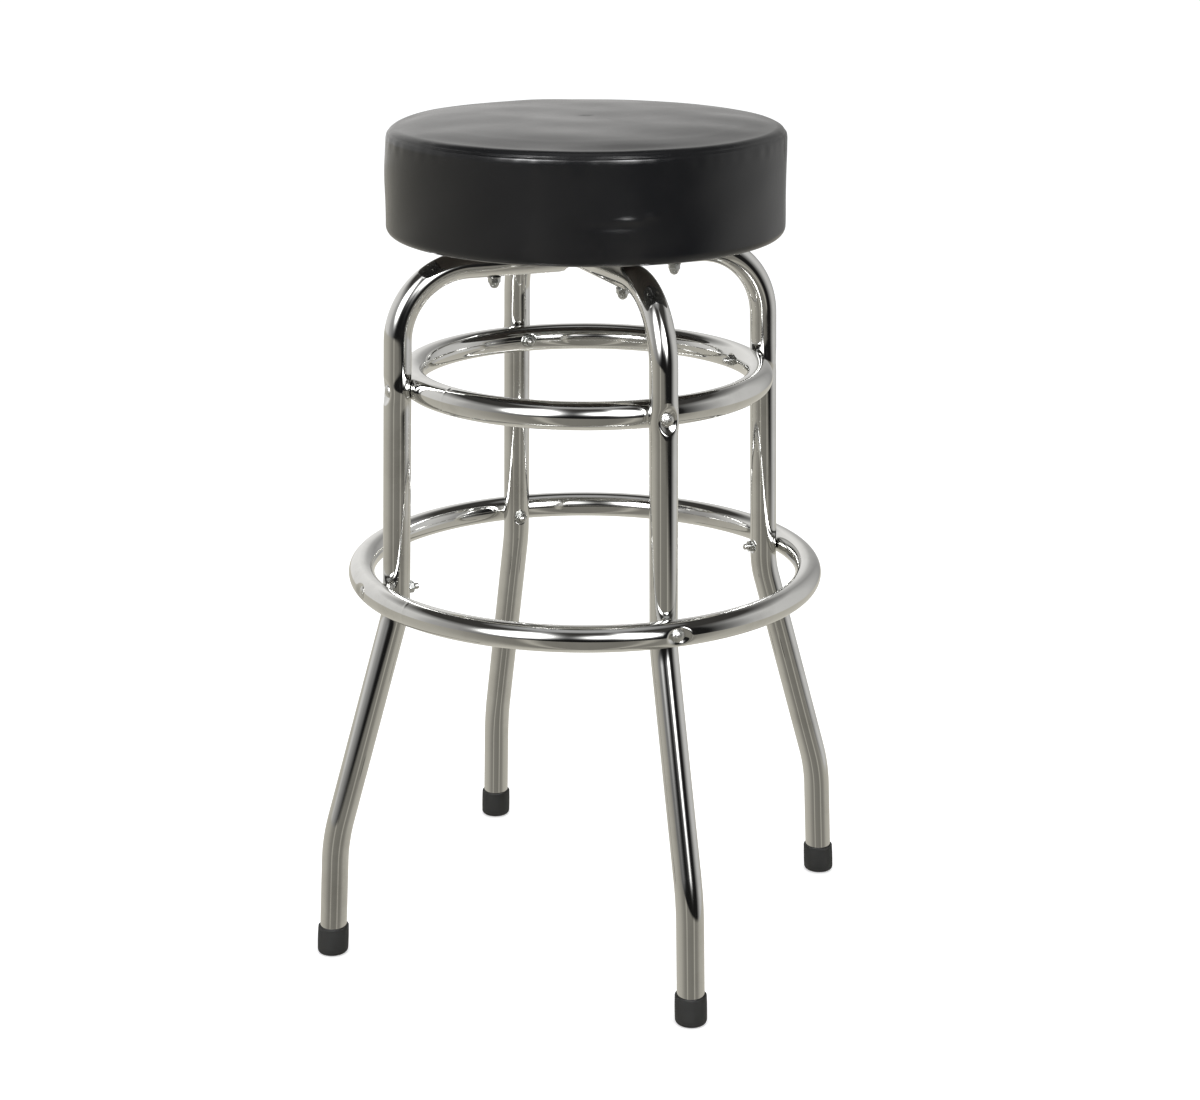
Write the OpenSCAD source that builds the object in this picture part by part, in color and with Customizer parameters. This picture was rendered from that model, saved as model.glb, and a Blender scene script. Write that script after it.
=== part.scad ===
// Swivel bar stool: a padded round seat on a ball bearing swivel, carried by two
// crossed U-shaped tubes that an inner ring and a footrest ring tie together.
// The origin is on the floor under the middle of the seat, with +Z up, in millimetres.

/* [Seat] */
// Outer diameter of the padded seat
seat_od = 360; // [300:1:440]
// Height of the seat's rim above the underside of its board
seat_depth = 96; // [70:1:130]
// Extra height in the middle of the seat
seat_crown = 6; // [2:1:12]
// Thickness of the plywood board
board_thickness = 12; // [9:1:18]
// Width of the foam around the edge of the board
board_inset = 10; // [6:1:20]
// Thickness of the vinyl cover
cover_thickness = 1.2; // [0.8:0.1:2]
// Width of the vinyl turned in under the board
cover_turn_in = 32; // [20:1:40]
// Radius of the seat's upper edge
rim_radius = 11; // [8:1:24]
// Radius of the seat's lower edge
hem_radius = 8; // [4:1:12]

/* [Frame] */
// Outer diameter of the leg tubes
leg_od = 25; // [22:0.5:32]
// Wall of the leg tubes
leg_wall = 1.5; // [1:0.1:2.5]
// Height of the middle of the arms above the floor
arm_height = 646; // [520:1:780]
// Distance of the legs from the middle, at the arms
shoulder_reach = 178; // [150:1:240]
// Radius of the bend between arm and leg
shoulder_bend = 67; // [50:1:100]
// Height where the legs start to spread
knee_height = 332; // [300:1:400]
// Distance of the legs from the middle, at the knee
knee_reach = 186; // [160:1:250]
// Radius of the bend at the knee
knee_bend = 100; // [80:1:200]
// Height where the legs turn down again
ankle_height = 113; // [60:1:130]
// Distance of the legs from the middle, at the ankle
ankle_reach = 250; // [220:1:320]
// Radius of the bend at the ankle
ankle_bend = 180; // [80:1:260]
// Distance of the legs from the middle, at the floor
foot_reach = 256; // [225:1:330]

/* [Rings] */
// How far the inner ring is below the middle of the arms
inner_ring_drop = 109; // [80:1:160]
// Outer diameter of the inner ring's tube
inner_ring_od = 25; // [20:0.5:28]
// Height of the footrest ring
footrest_height = 351.5; // [280:1:400]
// Outer diameter of the footrest ring's tube
footrest_od = 24; // [20:0.5:28]
// Wall of the rings' tubes
ring_wall = 1.5; // [1:0.1:2.5]
// Depth of the saddles pressed into the legs for the inner ring
inner_saddle = 4; // [0.5:0.1:5]
// Depth of the saddles pressed into the legs for the footrest ring
footrest_saddle = 0.8; // [0.5:0.1:3]

/* [Bolts] */
// Shank diameter of the frame's bolts
bolt_d = 6; // [5:0.5:8]
// Play of a bolt in its hole, on the diameter
bolt_play = 0.4; // [0.2:0.1:1]
// Diameter of the domed bolt heads
head_d = 12; // [10:0.5:16]
// Height of the domed bolt heads
head_height = 4; // [3:0.5:6]
// Depth of the dimples under the bolt heads
dimple_depth = 5; // [2:0.5:5]
// Radius of the ball that presses the dimples
dimple_radius = 16; // [12:0.5:18]
// Depth of the flats under the nuts
flat_depth = 1.5; // [1:0.1:2]
// Width of the nuts across their flats
nut_width = 10; // [8:0.5:13]
// Height of the nuts
nut_height = 5; // [4:0.5:7]
// Length of bolt that stands out past its nut
bolt_end = 5; // [1:0.5:6]
// Height of the dome nuts under the arms
dome_nut_height = 10; // [8:0.5:14]
// Thickness of the washers under the dome nuts
washer_thickness = 1.2; // [0.8:0.1:2]

/* [Swivel] */
// Side of the square swivel plates
plate_side = 150; // [140:1:170]
// Thickness of the swivel plates
plate_thickness = 2; // [1.5:0.1:3]
// Overall height of the swivel
swivel_height = 11.5; // [11:0.1:16]
// Distance of the plates' bolts from the middle
plate_bolt_reach = 88; // [84:1:92]
// Radius of the circle that the balls run on
race_radius = 50; // [44:1:56]
// Diameter of the balls
ball_d = 6; // [5:0.5:7]
// Number of balls
ball_count = 36; // [12:1:40]
// Clearance between a ball and its races
race_clearance = 0.05; // [0.02:0.01:0.1]
// Outer diameter of the eyelet that holds the two plates together
eyelet_d = 32; // [24:1:40]
// Clearance of the eyelet in the lower plate, on the radius
eyelet_clearance = 0.05; // [0.02:0.01:0.1]

/* [Feet] */
// Wall of the rubber feet around the legs
foot_wall = 2; // [1:0.5:6]
// Height of the rubber feet
foot_height = 27; // [20:1:40]
// Thickness of rubber under the leg
foot_sole = 6; // [4:0.5:10]
// Thickness of the steel disc inside each foot
disc_thickness = 1.5; // [1:0.1:3]

/* [Staples] */
// Number of staples around the turned-in vinyl
staple_count = 24; // [12:4:36]
// Width of a staple's crown
staple_width = 10; // [8:0.5:12]
// Thickness of the staple wire
staple_wire = 0.9; // [0.6:0.1:1.2]
// Length of a staple's legs
staple_leg = 7; // [5:0.5:8]

/* [Hidden] */
$fn = 96;
thread_fn = 48;
hex_fn = 6;
ball_fn = 32;
crown_fn = 720;
far = 600;
skin = 0.01;
spare = 1;

// Tubes
leg_r = leg_od / 2;
leg_bore_r = leg_r - leg_wall;
inner_ring_r = inner_ring_od / 2;
footrest_r = footrest_od / 2;
arm_top = arm_height + leg_r;
inner_ring_height = arm_height - inner_ring_drop;
arm_bottom = arm_height - leg_r;

// The leg's centre line, as corner points of reach and height
tube_end_height = foot_sole + disc_thickness;
foot_r = leg_r + foot_wall;
function along(low, high, height) =
    low[0] + (high[0] - low[0]) * (height - low[1]) / (high[1] - low[1]);
shoulder = [shoulder_reach, arm_height];
knee = [knee_reach, knee_height];
ankle = [ankle_reach, ankle_height];
sole = [foot_reach, 0];
foot_tilt = atan2(foot_reach - ankle_reach, ankle_height);
tube_end = [along(sole, ankle, tube_end_height), tube_end_height];
leg_corners = [[0, arm_height], shoulder, knee, ankle, tube_end];
leg_bends = [0, shoulder_bend, knee_bend, ankle_bend, 0];

// Heading of a stretch, measured downwards from level
function heading(i) = atan2(
    leg_corners[i][1] - leg_corners[i + 1][1],
    leg_corners[i + 1][0] - leg_corners[i][0]);
function turn(i) = heading(i) - heading(i - 1);
function tangent_length(i) =
    (i == 0 || i == len(leg_corners) - 1) ? 0 : leg_bends[i] * tan(abs(turn(i)) / 2);
function stretch_length(i) =
    norm(leg_corners[i + 1] - leg_corners[i]) - tangent_length(i) - tangent_length(i + 1);
leg_steps = [
    for (i = [0:3]) [stretch_length(i), i == 3 ? 0 : turn(i + 1), leg_bends[i + 1]]
];

// Rings: each is tangent to the legs, less the depth of its saddles
inner_leg_reach = along(knee, shoulder, inner_ring_height);
footrest_leg_reach = footrest_height > knee_height
    ? along(knee, shoulder, footrest_height)
    : along(ankle, knee, footrest_height);
inner_ring_radius = inner_leg_reach - leg_r - inner_ring_r + inner_saddle;
footrest_radius = footrest_leg_reach + leg_r + footrest_r - footrest_saddle;

// Bolts through the inner ring: head outside the leg, nut inside the ring
inner_head_seat = inner_leg_reach + leg_r - dimple_depth;
inner_nut_seat = inner_ring_radius - inner_ring_r + flat_depth;
// Bolts through the footrest: head outside the ring, nut inside the leg
footrest_head_seat = footrest_radius + footrest_r - dimple_depth;
footrest_nut_seat = footrest_leg_reach - leg_r + flat_depth;
hole_r = (bolt_d + bolt_play) / 2;
mark_half = 1;
mark_height = 0.05;
nut_corner_r = nut_width / sqrt(3);
head_flat_r = head_d / 2 + 0.2;
nut_flat_r = nut_corner_r + 0.6;

// Swivel stack, upwards from the top of the arms
plate_base = arm_top;
board_base = plate_base + swivel_height;
upper_plate_base = board_base - plate_thickness;
ball_height = plate_base + swivel_height / 2;
race_r = ball_d / 2 + race_clearance;
race_wall = 1.6;
race_half_gap = 1.35;
web_thickness = 1.5;
lower_web_top = ball_height - race_half_gap;
upper_web_base = ball_height + race_half_gap;
eyelet_r = eyelet_d / 2;
eyelet_wall = 1.5;
eyelet_lip = 3;
lip_thickness = 1.2;
eyelet_gap = 0.3;
low_head_d = head_d - 1;
low_head_height = 3;
dome_nut_hex = dome_nut_height * 0.45;
dome_nut_bore = dome_nut_height * 0.6;
dome_nut_dome_d = nut_width * 0.94;
dome_nut_top = arm_bottom - washer_thickness;
plate_corner_r = 12;

// Seat
seat_r = seat_od / 2;
board_r = seat_r - board_inset;
board_top = board_base + board_thickness;
rim_height = board_base + seat_depth;
least_bend = 1;
seam_height = rim_height - rim_radius * 0.3;
tee_barrel_r = 4;
tee_flange_r = 9;
tee_flange_thickness = 1.2;
tee_gap = 1;
screw_length = plate_thickness + board_thickness - tee_gap;
turn_in_r = seat_r - cover_turn_in;
staple_reach = (board_r + turn_in_r) / 2 - 2;

// Crossing: each arm loses the half that the other one fills
notch_half = leg_r + spare;

module quarter_turns() {
    for (i = [0:3]) rotate([0, 0, 90 * i]) children();
}

module corner_turns() {
    rotate([0, 0, 45]) quarter_turns() children();
}

// The slight collar that the bending die leaves where a bend starts or ends
module bend_mark(bar_r) {
    translate([0, 0, -mark_half]) cylinder(h = 2 * mark_half, r = bar_r + mark_height);
}

// A round bar that follows steps of straight length, turn and bend radius
module bar_run(steps, bar_r, i = 0) {
    length = steps[i][0];
    bend = steps[i][1];
    bend_r = steps[i][2];
    side = bend < 0 ? 1 : 0;
    way = bend < 0 ? -1 : 1;
    start = i == 0 ? 0 : mark_half / 2;
    end = i == len(steps) - 1 ? 0 : mark_half / 2;
    translate([0, 0, start]) cylinder(h = length - start - end, r = bar_r);
    if (i > 0) bend_mark(bar_r);
    if (i < len(steps) - 1) {
        translate([0, 0, length]) {
            bend_mark(bar_r);
            mirror([side, 0, 0])
                translate([bend_r, 0, 0])
                    rotate([90, 0, 0])
                        rotate([0, 0, 180 - abs(bend)])
                            rotate_extrude(angle = abs(bend))
                                translate([bend_r, 0]) circle(r = bar_r);
            translate([way * bend_r, 0, 0])
                rotate([0, bend, 0])
                    translate([-way * bend_r, 0, 0])
                        bar_run(steps, bar_r, i + 1);
        }
    }
}

// Both halves of a U-shaped bar in the XZ plane, its ends down
module u_bar(bar_r) {
    for (m = [0, 1])
        mirror([m, 0, 0])
            translate([0, 0, arm_height]) rotate([0, 90, 0]) bar_run(leg_steps, bar_r);
}

module ring_bar(ring_r, bar_r, height) {
    translate([0, 0, height]) rotate_extrude() translate([ring_r, 0]) circle(r = bar_r);
}

// The pressed dimple for a bolt head, at a place along X, grown by a wall
module dimple(seat, wall) {
    translate([seat + dimple_radius, 0, 0]) sphere(r = dimple_radius + wall);
    translate([seat - wall, 0, 0])
        rotate([0, 90, 0]) cylinder(h = dimple_radius, r = head_flat_r + wall);
}

// The pressed flat for a nut, open towards the middle, grown by a wall
module nut_flat(seat, wall) {
    translate([seat + wall, 0, 0])
        rotate([0, -90, 0]) cylinder(h = leg_od, r = nut_flat_r + wall);
}

// What is pressed into an arm and its two legs, grown by a wall
module leg_presses(wall) {
    for (m = [0, 1]) {
        mirror([m, 0, 0]) {
            translate([0, 0, inner_ring_height]) dimple(inner_head_seat, wall);
            translate([0, 0, footrest_height]) nut_flat(footrest_nut_seat, wall);
        }
    }
    ring_bar(inner_ring_radius, inner_ring_r + wall, inner_ring_height);
    ring_bar(footrest_radius, footrest_r + wall, footrest_height);
}

// The half that an arm gives up at the crossing; up is 1 above the middle, -1 below
module crossing_press(up, wall) {
    flat_z = arm_height - up * wall;
    slope_shift = wall * (sqrt(2) - 1);
    half = notch_half + slope_shift;
    rise = up * (leg_r + wall + spare);
    translate([0, leg_od, 0])
        rotate([90, 0, 0])
            linear_extrude(height = 2 * leg_od)
                polygon([
                    [-half, flat_z], [half, flat_z],
                    [half + abs(rise), flat_z + rise], [-half - abs(rise), flat_z + rise]
                ]);
}

// Holes through both legs and through both arms
module leg_holes() {
    for (height = [inner_ring_height, footrest_height])
        translate([-far / 2, 0, height]) rotate([0, 90, 0]) cylinder(h = far, r = hole_r);
    for (side = [-1, 1])
        translate([side * plate_bolt_reach, 0, arm_bottom - spare])
            cylinder(h = leg_od + 2 * spare, r = hole_r);
}

// One U-shaped tube; up says which half it gives up at the crossing
module u_tube(up) {
    difference() {
        u_bar(leg_r);
        leg_presses(0);
        crossing_press(up, 0);
        difference() {
            u_bar(leg_bore_r);
            leg_presses(leg_wall);
            crossing_press(up, leg_wall);
        }
        leg_holes();
    }
}

module u_frame_side() {
    color("silver") u_tube(-1);
}

module u_frame_front() {
    color("silver") rotate([0, 0, 90]) u_tube(1);
}

module inner_ring() {
    color("gainsboro")
    difference() {
        ring_bar(inner_ring_radius, inner_ring_r, inner_ring_height);
        translate([0, 0, inner_ring_height]) quarter_turns() nut_flat(inner_nut_seat, 0);
        difference() {
            ring_bar(inner_ring_radius, inner_ring_r - ring_wall, inner_ring_height);
            translate([0, 0, inner_ring_height]) quarter_turns()
                nut_flat(inner_nut_seat, ring_wall);
        }
        translate([0, 0, inner_ring_height]) quarter_turns()
            rotate([0, 90, 0]) cylinder(h = far, r = hole_r);
    }
}

module footrest_ring() {
    color("gainsboro")
    difference() {
        ring_bar(footrest_radius, footrest_r, footrest_height);
        translate([0, 0, footrest_height]) quarter_turns() dimple(footrest_head_seat, 0);
        difference() {
            ring_bar(footrest_radius, footrest_r - ring_wall, footrest_height);
            translate([0, 0, footrest_height]) quarter_turns()
                dimple(footrest_head_seat, ring_wall);
        }
        translate([0, 0, footrest_height]) quarter_turns()
            rotate([0, 90, 0]) cylinder(h = far, r = hole_r);
    }
}

// A shallow dome of a given width and height, flat side down
module dome(width, height) {
    ball_r = (width * width / 4 + height * height) / (2 * height);
    intersection() {
        translate([0, 0, height - ball_r]) sphere(r = ball_r);
        cylinder(h = height, r = width / 2);
    }
}

// A bolt along X, its head outside and its end towards the middle
module domed_bolt(head_seat, nut_seat) {
    end = nut_seat - nut_height - bolt_end;
    translate([head_seat, 0, 0]) rotate([0, 90, 0]) dome(head_d, head_height);
    translate([end, 0, 0]) rotate([0, 90, 0])
        cylinder(h = head_seat - end + spare, r = bolt_d / 2, $fn = thread_fn);
}

module hex_nut(seat) {
    translate([seat - nut_height, 0, 0]) rotate([0, 90, 0])
        difference() {
            cylinder(h = nut_height, r = nut_corner_r, $fn = hex_fn);
            translate([0, 0, -spare])
                cylinder(h = nut_height + 2 * spare, r = bolt_d / 2, $fn = thread_fn);
        }
}

module inner_ring_bolts() {
    color("whitesmoke") translate([0, 0, inner_ring_height]) quarter_turns()
        domed_bolt(inner_head_seat, inner_nut_seat);
}

module inner_ring_nuts() {
    color("darkgray") translate([0, 0, inner_ring_height]) quarter_turns()
        hex_nut(inner_nut_seat);
}

module footrest_bolts() {
    color("whitesmoke") translate([0, 0, footrest_height]) quarter_turns()
        domed_bolt(footrest_head_seat, footrest_nut_seat);
}

module footrest_nuts() {
    color("darkgray") translate([0, 0, footrest_height]) quarter_turns()
        hex_nut(footrest_nut_seat);
}

// Bolts that hold the lower plate on the four arms, heads on top of the plate
module swivel_bolts() {
    head_seat = plate_base + plate_thickness;
    end = dome_nut_top - dome_nut_bore;
    color("darkgray") quarter_turns()
        translate([plate_bolt_reach, 0, 0]) {
            translate([0, 0, head_seat]) dome(low_head_d, low_head_height);
            translate([0, 0, end])
                cylinder(h = head_seat - end + spare, r = bolt_d / 2, $fn = thread_fn);
        }
}

module swivel_washers() {
    color("silver") quarter_turns()
        translate([plate_bolt_reach, 0, dome_nut_top])
            difference() {
                cylinder(h = washer_thickness, r = bolt_d);
                translate([0, 0, -spare])
                    cylinder(h = washer_thickness + 2 * spare, r = hole_r);
            }
}

module dome_nut() {
    dome_part = dome_nut_height - dome_nut_hex;
    difference() {
        union() {
            translate([0, 0, dome_part])
                cylinder(h = dome_nut_hex, r = nut_corner_r, $fn = hex_fn);
            translate([0, 0, dome_part + skin]) mirror([0, 0, 1])
                dome(dome_nut_dome_d, dome_part + skin);
        }
        translate([0, 0, dome_nut_height - dome_nut_bore])
            cylinder(h = dome_nut_height, r = bolt_d / 2, $fn = thread_fn);
    }
}

module swivel_dome_nuts() {
    color("lightgray") quarter_turns()
        translate([plate_bolt_reach, 0, dome_nut_top - dome_nut_height])
            dome_nut();
}

// A square plate with round corners on the X and Y axes, with its four holes
module plate_blank(base) {
    straight = plate_side / 2 - plate_corner_r;
    difference() {
        translate([0, 0, base]) rotate([0, 0, 45])
            union() {
                for (sx = [-1, 1])
                    for (sy = [-1, 1])
                        translate([sx * straight, sy * straight, 0])
                            cylinder(h = plate_thickness, r = plate_corner_r);
                translate([-plate_side / 2, -straight, 0])
                    cube([plate_side, 2 * straight, plate_thickness]);
                translate([-straight, -plate_side / 2, 0])
                    cube([2 * straight, plate_side, plate_thickness]);
            }
        quarter_turns()
            translate([plate_bolt_reach, 0, base - spare])
                cylinder(h = plate_thickness + 2 * spare, r = hole_r);
    }
}

// Half of the ball race as a pressed gutter; side is -1 below the balls, 1 above
module race_gutter(side) {
    wall_r = race_r + race_wall;
    reach = 2 * wall_r;
    gap = race_half_gap;
    translate([0, 0, ball_height])
        rotate_extrude()
            translate([race_radius, 0])
                difference() {
                    circle(r = wall_r, $fn = thread_fn);
                    circle(r = race_r, $fn = thread_fn);
                    translate([-reach / 2, side < 0 ? -gap : gap - reach]) square(reach);
                }
}

module race_cavity() {
    translate([0, 0, ball_height])
        rotate_extrude()
            translate([race_radius, 0]) circle(r = race_r, $fn = thread_fn);
}

module swivel_lower_plate() {
    web_r = race_radius - race_r;
    color("slategray")
    difference() {
        union() {
            difference() {
                plate_blank(plate_base);
                translate([0, 0, plate_base - spare])
                    cylinder(h = plate_thickness + 2 * spare, r = race_radius);
            }
            race_gutter(-1);
            translate([0, 0, lower_web_top - web_thickness])
                cylinder(h = web_thickness, r = web_r);
        }
        race_cavity();
        translate([0, 0, plate_base])
            cylinder(h = swivel_height, r = eyelet_r + eyelet_clearance);
    }
}

module swivel_upper_plate() {
    web_r = race_radius - race_r;
    color("slategray")
    difference() {
        union() {
            difference() {
                rotate([0, 0, 45]) plate_blank(upper_plate_base);
                translate([0, 0, upper_plate_base - spare])
                    cylinder(h = plate_thickness + 2 * spare, r = race_radius);
            }
            race_gutter(1);
            translate([0, 0, upper_web_base])
                cylinder(h = web_thickness, r = web_r);
        }
        race_cavity();
        translate([0, 0, plate_base])
            cylinder(h = swivel_height, r = eyelet_r);
    }
}

// The flanged eyelet: tight in the upper plate, running in the lower plate
module swivel_eyelet() {
    low = lower_web_top - web_thickness - eyelet_gap;
    high = upper_web_base + web_thickness;
    color("goldenrod")
    difference() {
        union() {
            translate([0, 0, low]) cylinder(h = high - low, r = eyelet_r);
            translate([0, 0, low - lip_thickness])
                cylinder(h = lip_thickness, r = eyelet_r + eyelet_lip);
            translate([0, 0, high]) cylinder(h = lip_thickness, r = eyelet_r + eyelet_lip);
        }
        translate([0, 0, low - lip_thickness - spare])
            cylinder(h = swivel_height, r = eyelet_r - eyelet_wall);
    }
}

module swivel_balls() {
    color("lightsteelblue")
        for (i = [0:ball_count - 1])
            rotate([0, 0, 360 * i / ball_count])
                translate([race_radius, 0, ball_height]) sphere(r = ball_d / 2, $fn = ball_fn);
}

// Screws up through the upper plate into the board
module seat_screws() {
    color("darkgray") corner_turns()
        translate([plate_bolt_reach, 0, 0]) {
            translate([0, 0, upper_plate_base]) mirror([0, 0, 1])
                dome(low_head_d, low_head_height);
            translate([0, 0, upper_plate_base - spare])
                cylinder(h = screw_length + spare, r = bolt_d / 2, $fn = thread_fn);
        }
}

module tee_nuts() {
    color("lightgray") corner_turns()
        translate([plate_bolt_reach, 0, 0])
            difference() {
                union() {
                    translate([0, 0, board_base + tee_gap])
                        cylinder(h = board_thickness - tee_gap, r = tee_barrel_r);
                    translate([0, 0, board_top - tee_flange_thickness])
                        cylinder(h = tee_flange_thickness, r = tee_flange_r);
                }
                translate([0, 0, board_base])
                    cylinder(h = board_thickness + spare, r = bolt_d / 2, $fn = thread_fn);
            }
}

// A staple pressed up into the board, its crown flat on the turned-in vinyl
module staple() {
    crown_base = board_base - cover_thickness - staple_wire;
    translate([staple_reach - staple_wire / 2, -staple_width / 2, crown_base])
        cube([staple_wire, staple_width, staple_wire]);
    for (side = [-1, 1])
        translate([
            staple_reach - staple_wire / 2,
            side * (staple_width - staple_wire) / 2 - staple_wire / 2,
            crown_base
        ])
            cube([staple_wire, staple_wire, staple_leg]);
}

module staples() {
    for (i = [0:staple_count - 1])
        rotate([0, 0, 360 * (i + 0.5) / staple_count]) staple();
}

module cover_staples() {
    color("silver") staples();
}

module seat_board() {
    color("burlywood")
    difference() {
        translate([0, 0, board_base]) cylinder(h = board_thickness, r = board_r);
        corner_turns()
            translate([plate_bolt_reach, 0, 0]) {
                translate([0, 0, board_base - spare])
                    cylinder(h = board_thickness + 2 * spare, r = tee_barrel_r);
                translate([0, 0, board_top - tee_flange_thickness])
                    cylinder(h = board_thickness, r = tee_flange_r);
            }
        staples();
    }
}

// Outline of the padded seat from its middle to its side, drawn inwards by a skin
module seat_profile(inward) {
    side = seat_r - inward;
    top = rim_height - inward;
    low = board_base - cover_thickness + inward;
    rim = max(rim_radius - inward, least_bend);
    hem = max(hem_radius - inward, least_bend);
    intersection() {
        union() {
            translate([0, low]) square([side - hem, hem]);
            translate([side - hem, low + hem]) intersection() {
                circle(r = hem);
                translate([0, -hem]) square(hem);
            }
            translate([0, low + hem]) square([side, top - rim - low - hem]);
            translate([0, top - rim]) square([side - rim, rim]);
            translate([side - rim, top - rim]) intersection() {
                circle(r = rim);
                square(rim);
            }
            crown_cap(side - rim, top);
        }
        translate([0, low]) square([side, 2 * seat_depth]);
    }
}

// The low arc of the crown over the flat top
module crown_cap(half_width, top) {
    arc_r = (half_width * half_width + seat_crown * seat_crown) / (2 * seat_crown);
    intersection() {
        translate([0, top + seat_crown - arc_r]) circle(r = arc_r, $fn = crown_fn);
        translate([0, top]) square([half_width, seat_crown + spare]);
    }
}

module seat_foam() {
    color("khaki")
    difference() {
        rotate_extrude() seat_profile(cover_thickness);
        translate([0, 0, board_base - spare])
            cylinder(h = board_thickness + spare, r = board_r);
    }
}

// The whole vinyl skin, open under the board
module cover_skin() {
    difference() {
        rotate_extrude()
            difference() {
                seat_profile(0);
                seat_profile(cover_thickness);
            }
        translate([0, 0, board_base - cover_thickness - spare])
            cylinder(h = cover_thickness + 2 * spare, r = turn_in_r);
        staples();
    }
}

module cover_top() {
    color("dimgray")
    intersection() {
        cover_skin();
        translate([0, 0, seam_height]) cylinder(h = seat_depth, r = far);
    }
}

module cover_band() {
    color("black")
    intersection() {
        cover_skin();
        translate([0, 0, seam_height - 2 * seat_depth]) cylinder(h = 2 * seat_depth, r = far);
    }
}

// One rubber foot on the +X side, its sole flat on the floor
module rubber_foot() {
    color("#222222")
    intersection() {
        translate([foot_reach, 0, 0]) rotate([0, -foot_tilt, 0])
            difference() {
                translate([0, 0, -foot_sole])
                    cylinder(h = foot_height + foot_sole, r = foot_r);
                translate([0, 0, foot_sole / cos(foot_tilt)])
                    cylinder(h = foot_height, r = leg_r);
            }
        cylinder(h = 2 * foot_height, r = far);
    }
}

// The steel disc between the sole and the end of the tube
module foot_disc() {
    translate([foot_reach, 0, 0]) rotate([0, -foot_tilt, 0])
        translate([0, 0, foot_sole / cos(foot_tilt)])
            cylinder(h = disc_thickness, r = leg_r);
}

module foot_right() {
    rubber_foot();
}

module foot_back() {
    rotate([0, 0, 90]) rubber_foot();
}

module foot_left() {
    rotate([0, 0, 180]) rubber_foot();
}

module foot_front() {
    rotate([0, 0, 270]) rubber_foot();
}

module foot_discs() {
    color("lightgray") quarter_turns() foot_disc();
}

u_frame_side();
u_frame_front();
inner_ring();
footrest_ring();
inner_ring_bolts();
inner_ring_nuts();
footrest_bolts();
footrest_nuts();
swivel_bolts();
swivel_washers();
swivel_dome_nuts();
swivel_lower_plate();
foot_left();
foot_right();
foot_front();
foot_back();
foot_discs();
swivel_balls();
swivel_upper_plate();
swivel_eyelet();
seat_screws();
tee_nuts();
seat_board();
seat_foam();
cover_top();
cover_band();
cover_staples();
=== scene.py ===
"""Looks for a swivel bar stool: chrome tube frame, padded vinyl seat, ball bearing swivel."""

import logging
import math
from dataclasses import dataclass, field
from enum import Enum

import bpy
import numpy as np
from mathutils import Matrix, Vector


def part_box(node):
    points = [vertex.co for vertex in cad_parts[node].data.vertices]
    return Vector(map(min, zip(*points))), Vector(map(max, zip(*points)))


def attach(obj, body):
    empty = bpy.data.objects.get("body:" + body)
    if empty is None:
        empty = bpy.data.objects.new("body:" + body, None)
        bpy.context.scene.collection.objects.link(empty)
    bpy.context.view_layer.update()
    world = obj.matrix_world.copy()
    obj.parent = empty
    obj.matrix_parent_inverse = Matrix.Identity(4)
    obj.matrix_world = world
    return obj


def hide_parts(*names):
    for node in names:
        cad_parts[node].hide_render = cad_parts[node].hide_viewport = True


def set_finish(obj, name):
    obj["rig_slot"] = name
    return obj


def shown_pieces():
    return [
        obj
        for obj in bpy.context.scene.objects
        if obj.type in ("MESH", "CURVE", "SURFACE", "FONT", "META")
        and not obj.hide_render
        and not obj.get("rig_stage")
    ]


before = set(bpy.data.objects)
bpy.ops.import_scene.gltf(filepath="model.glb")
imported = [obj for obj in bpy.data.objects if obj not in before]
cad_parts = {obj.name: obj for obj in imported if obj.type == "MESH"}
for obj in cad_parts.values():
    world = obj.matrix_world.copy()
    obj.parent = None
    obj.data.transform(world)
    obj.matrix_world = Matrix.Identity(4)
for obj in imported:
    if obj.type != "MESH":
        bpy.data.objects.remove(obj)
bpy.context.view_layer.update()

log = logging.getLogger("stool")
Array = np.ndarray
Object = bpy.types.Object
MM = 0.001
TURN = 2.0 * math.pi
# How soft the edges of the dimples, the other presses and the notch come out.
DIMPLE_EDGE = 1.2 * MM
PRESS_EDGE = 0.6 * MM
NOTCH_EDGE = 1.0 * MM


class Slot(Enum):
    """The record's material slots."""

    CHROME = "chrome_tube"
    FASTENER = "fasteners"
    DOME_HEAD = "dome_heads"
    PLATE = "swivel_plate"
    BALL = "bearing_steel"
    EYELET = "eyelet_brass"
    RUBBER = "black_rubber"
    PLYWOOD = "plywood"
    FOAM = "seat_padding"
    VINYL = "black_vinyl"


class Body(Enum):
    """The rigid bodies that pieces ride on."""

    FRAME = "frame"
    RACE = "ball_race"
    SEAT = "seat"


# ------------------------------------------------------------------ arrays


def blend_min(a: Array, b: Array, softness: float) -> Array:
    """The smaller of two arrays, rounded where they cross.

    Formula: half of a plus b minus the root of (a minus b) squared plus softness squared.

    Args:
        a: first values.
        b: second values.
        softness: width of the rounding, in the values' own unit.

    Returns:
        The softened minimum.
    """
    return 0.5 * (a + b - np.sqrt((a - b) ** 2 + softness**2))


def smooth_step(x: Array, low: float, high: float) -> Array:
    """A rise from 0 at low to 1 at high: three t squared less two t cubed."""
    t = np.clip((x - low) / (high - low), 0.0, 1.0)
    return t * t * (3.0 - 2.0 * t)


def bell(x: Array, width: float) -> Array:
    """A bell curve of height 1: e to the minus (x over width) squared."""
    return np.exp(-((x / width) ** 2))


def turned(points: Array, quarter: int) -> Array:
    """Points turned about the vertical axis by quarter turns, exactly."""
    cos, sin = ((1, 0), (0, 1), (-1, 0), (0, -1))[quarter % 4]
    x, y, z = points[..., 0], points[..., 1], points[..., 2]
    return np.stack([cos * x - sin * y, sin * x + cos * y, z], axis=-1)


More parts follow.
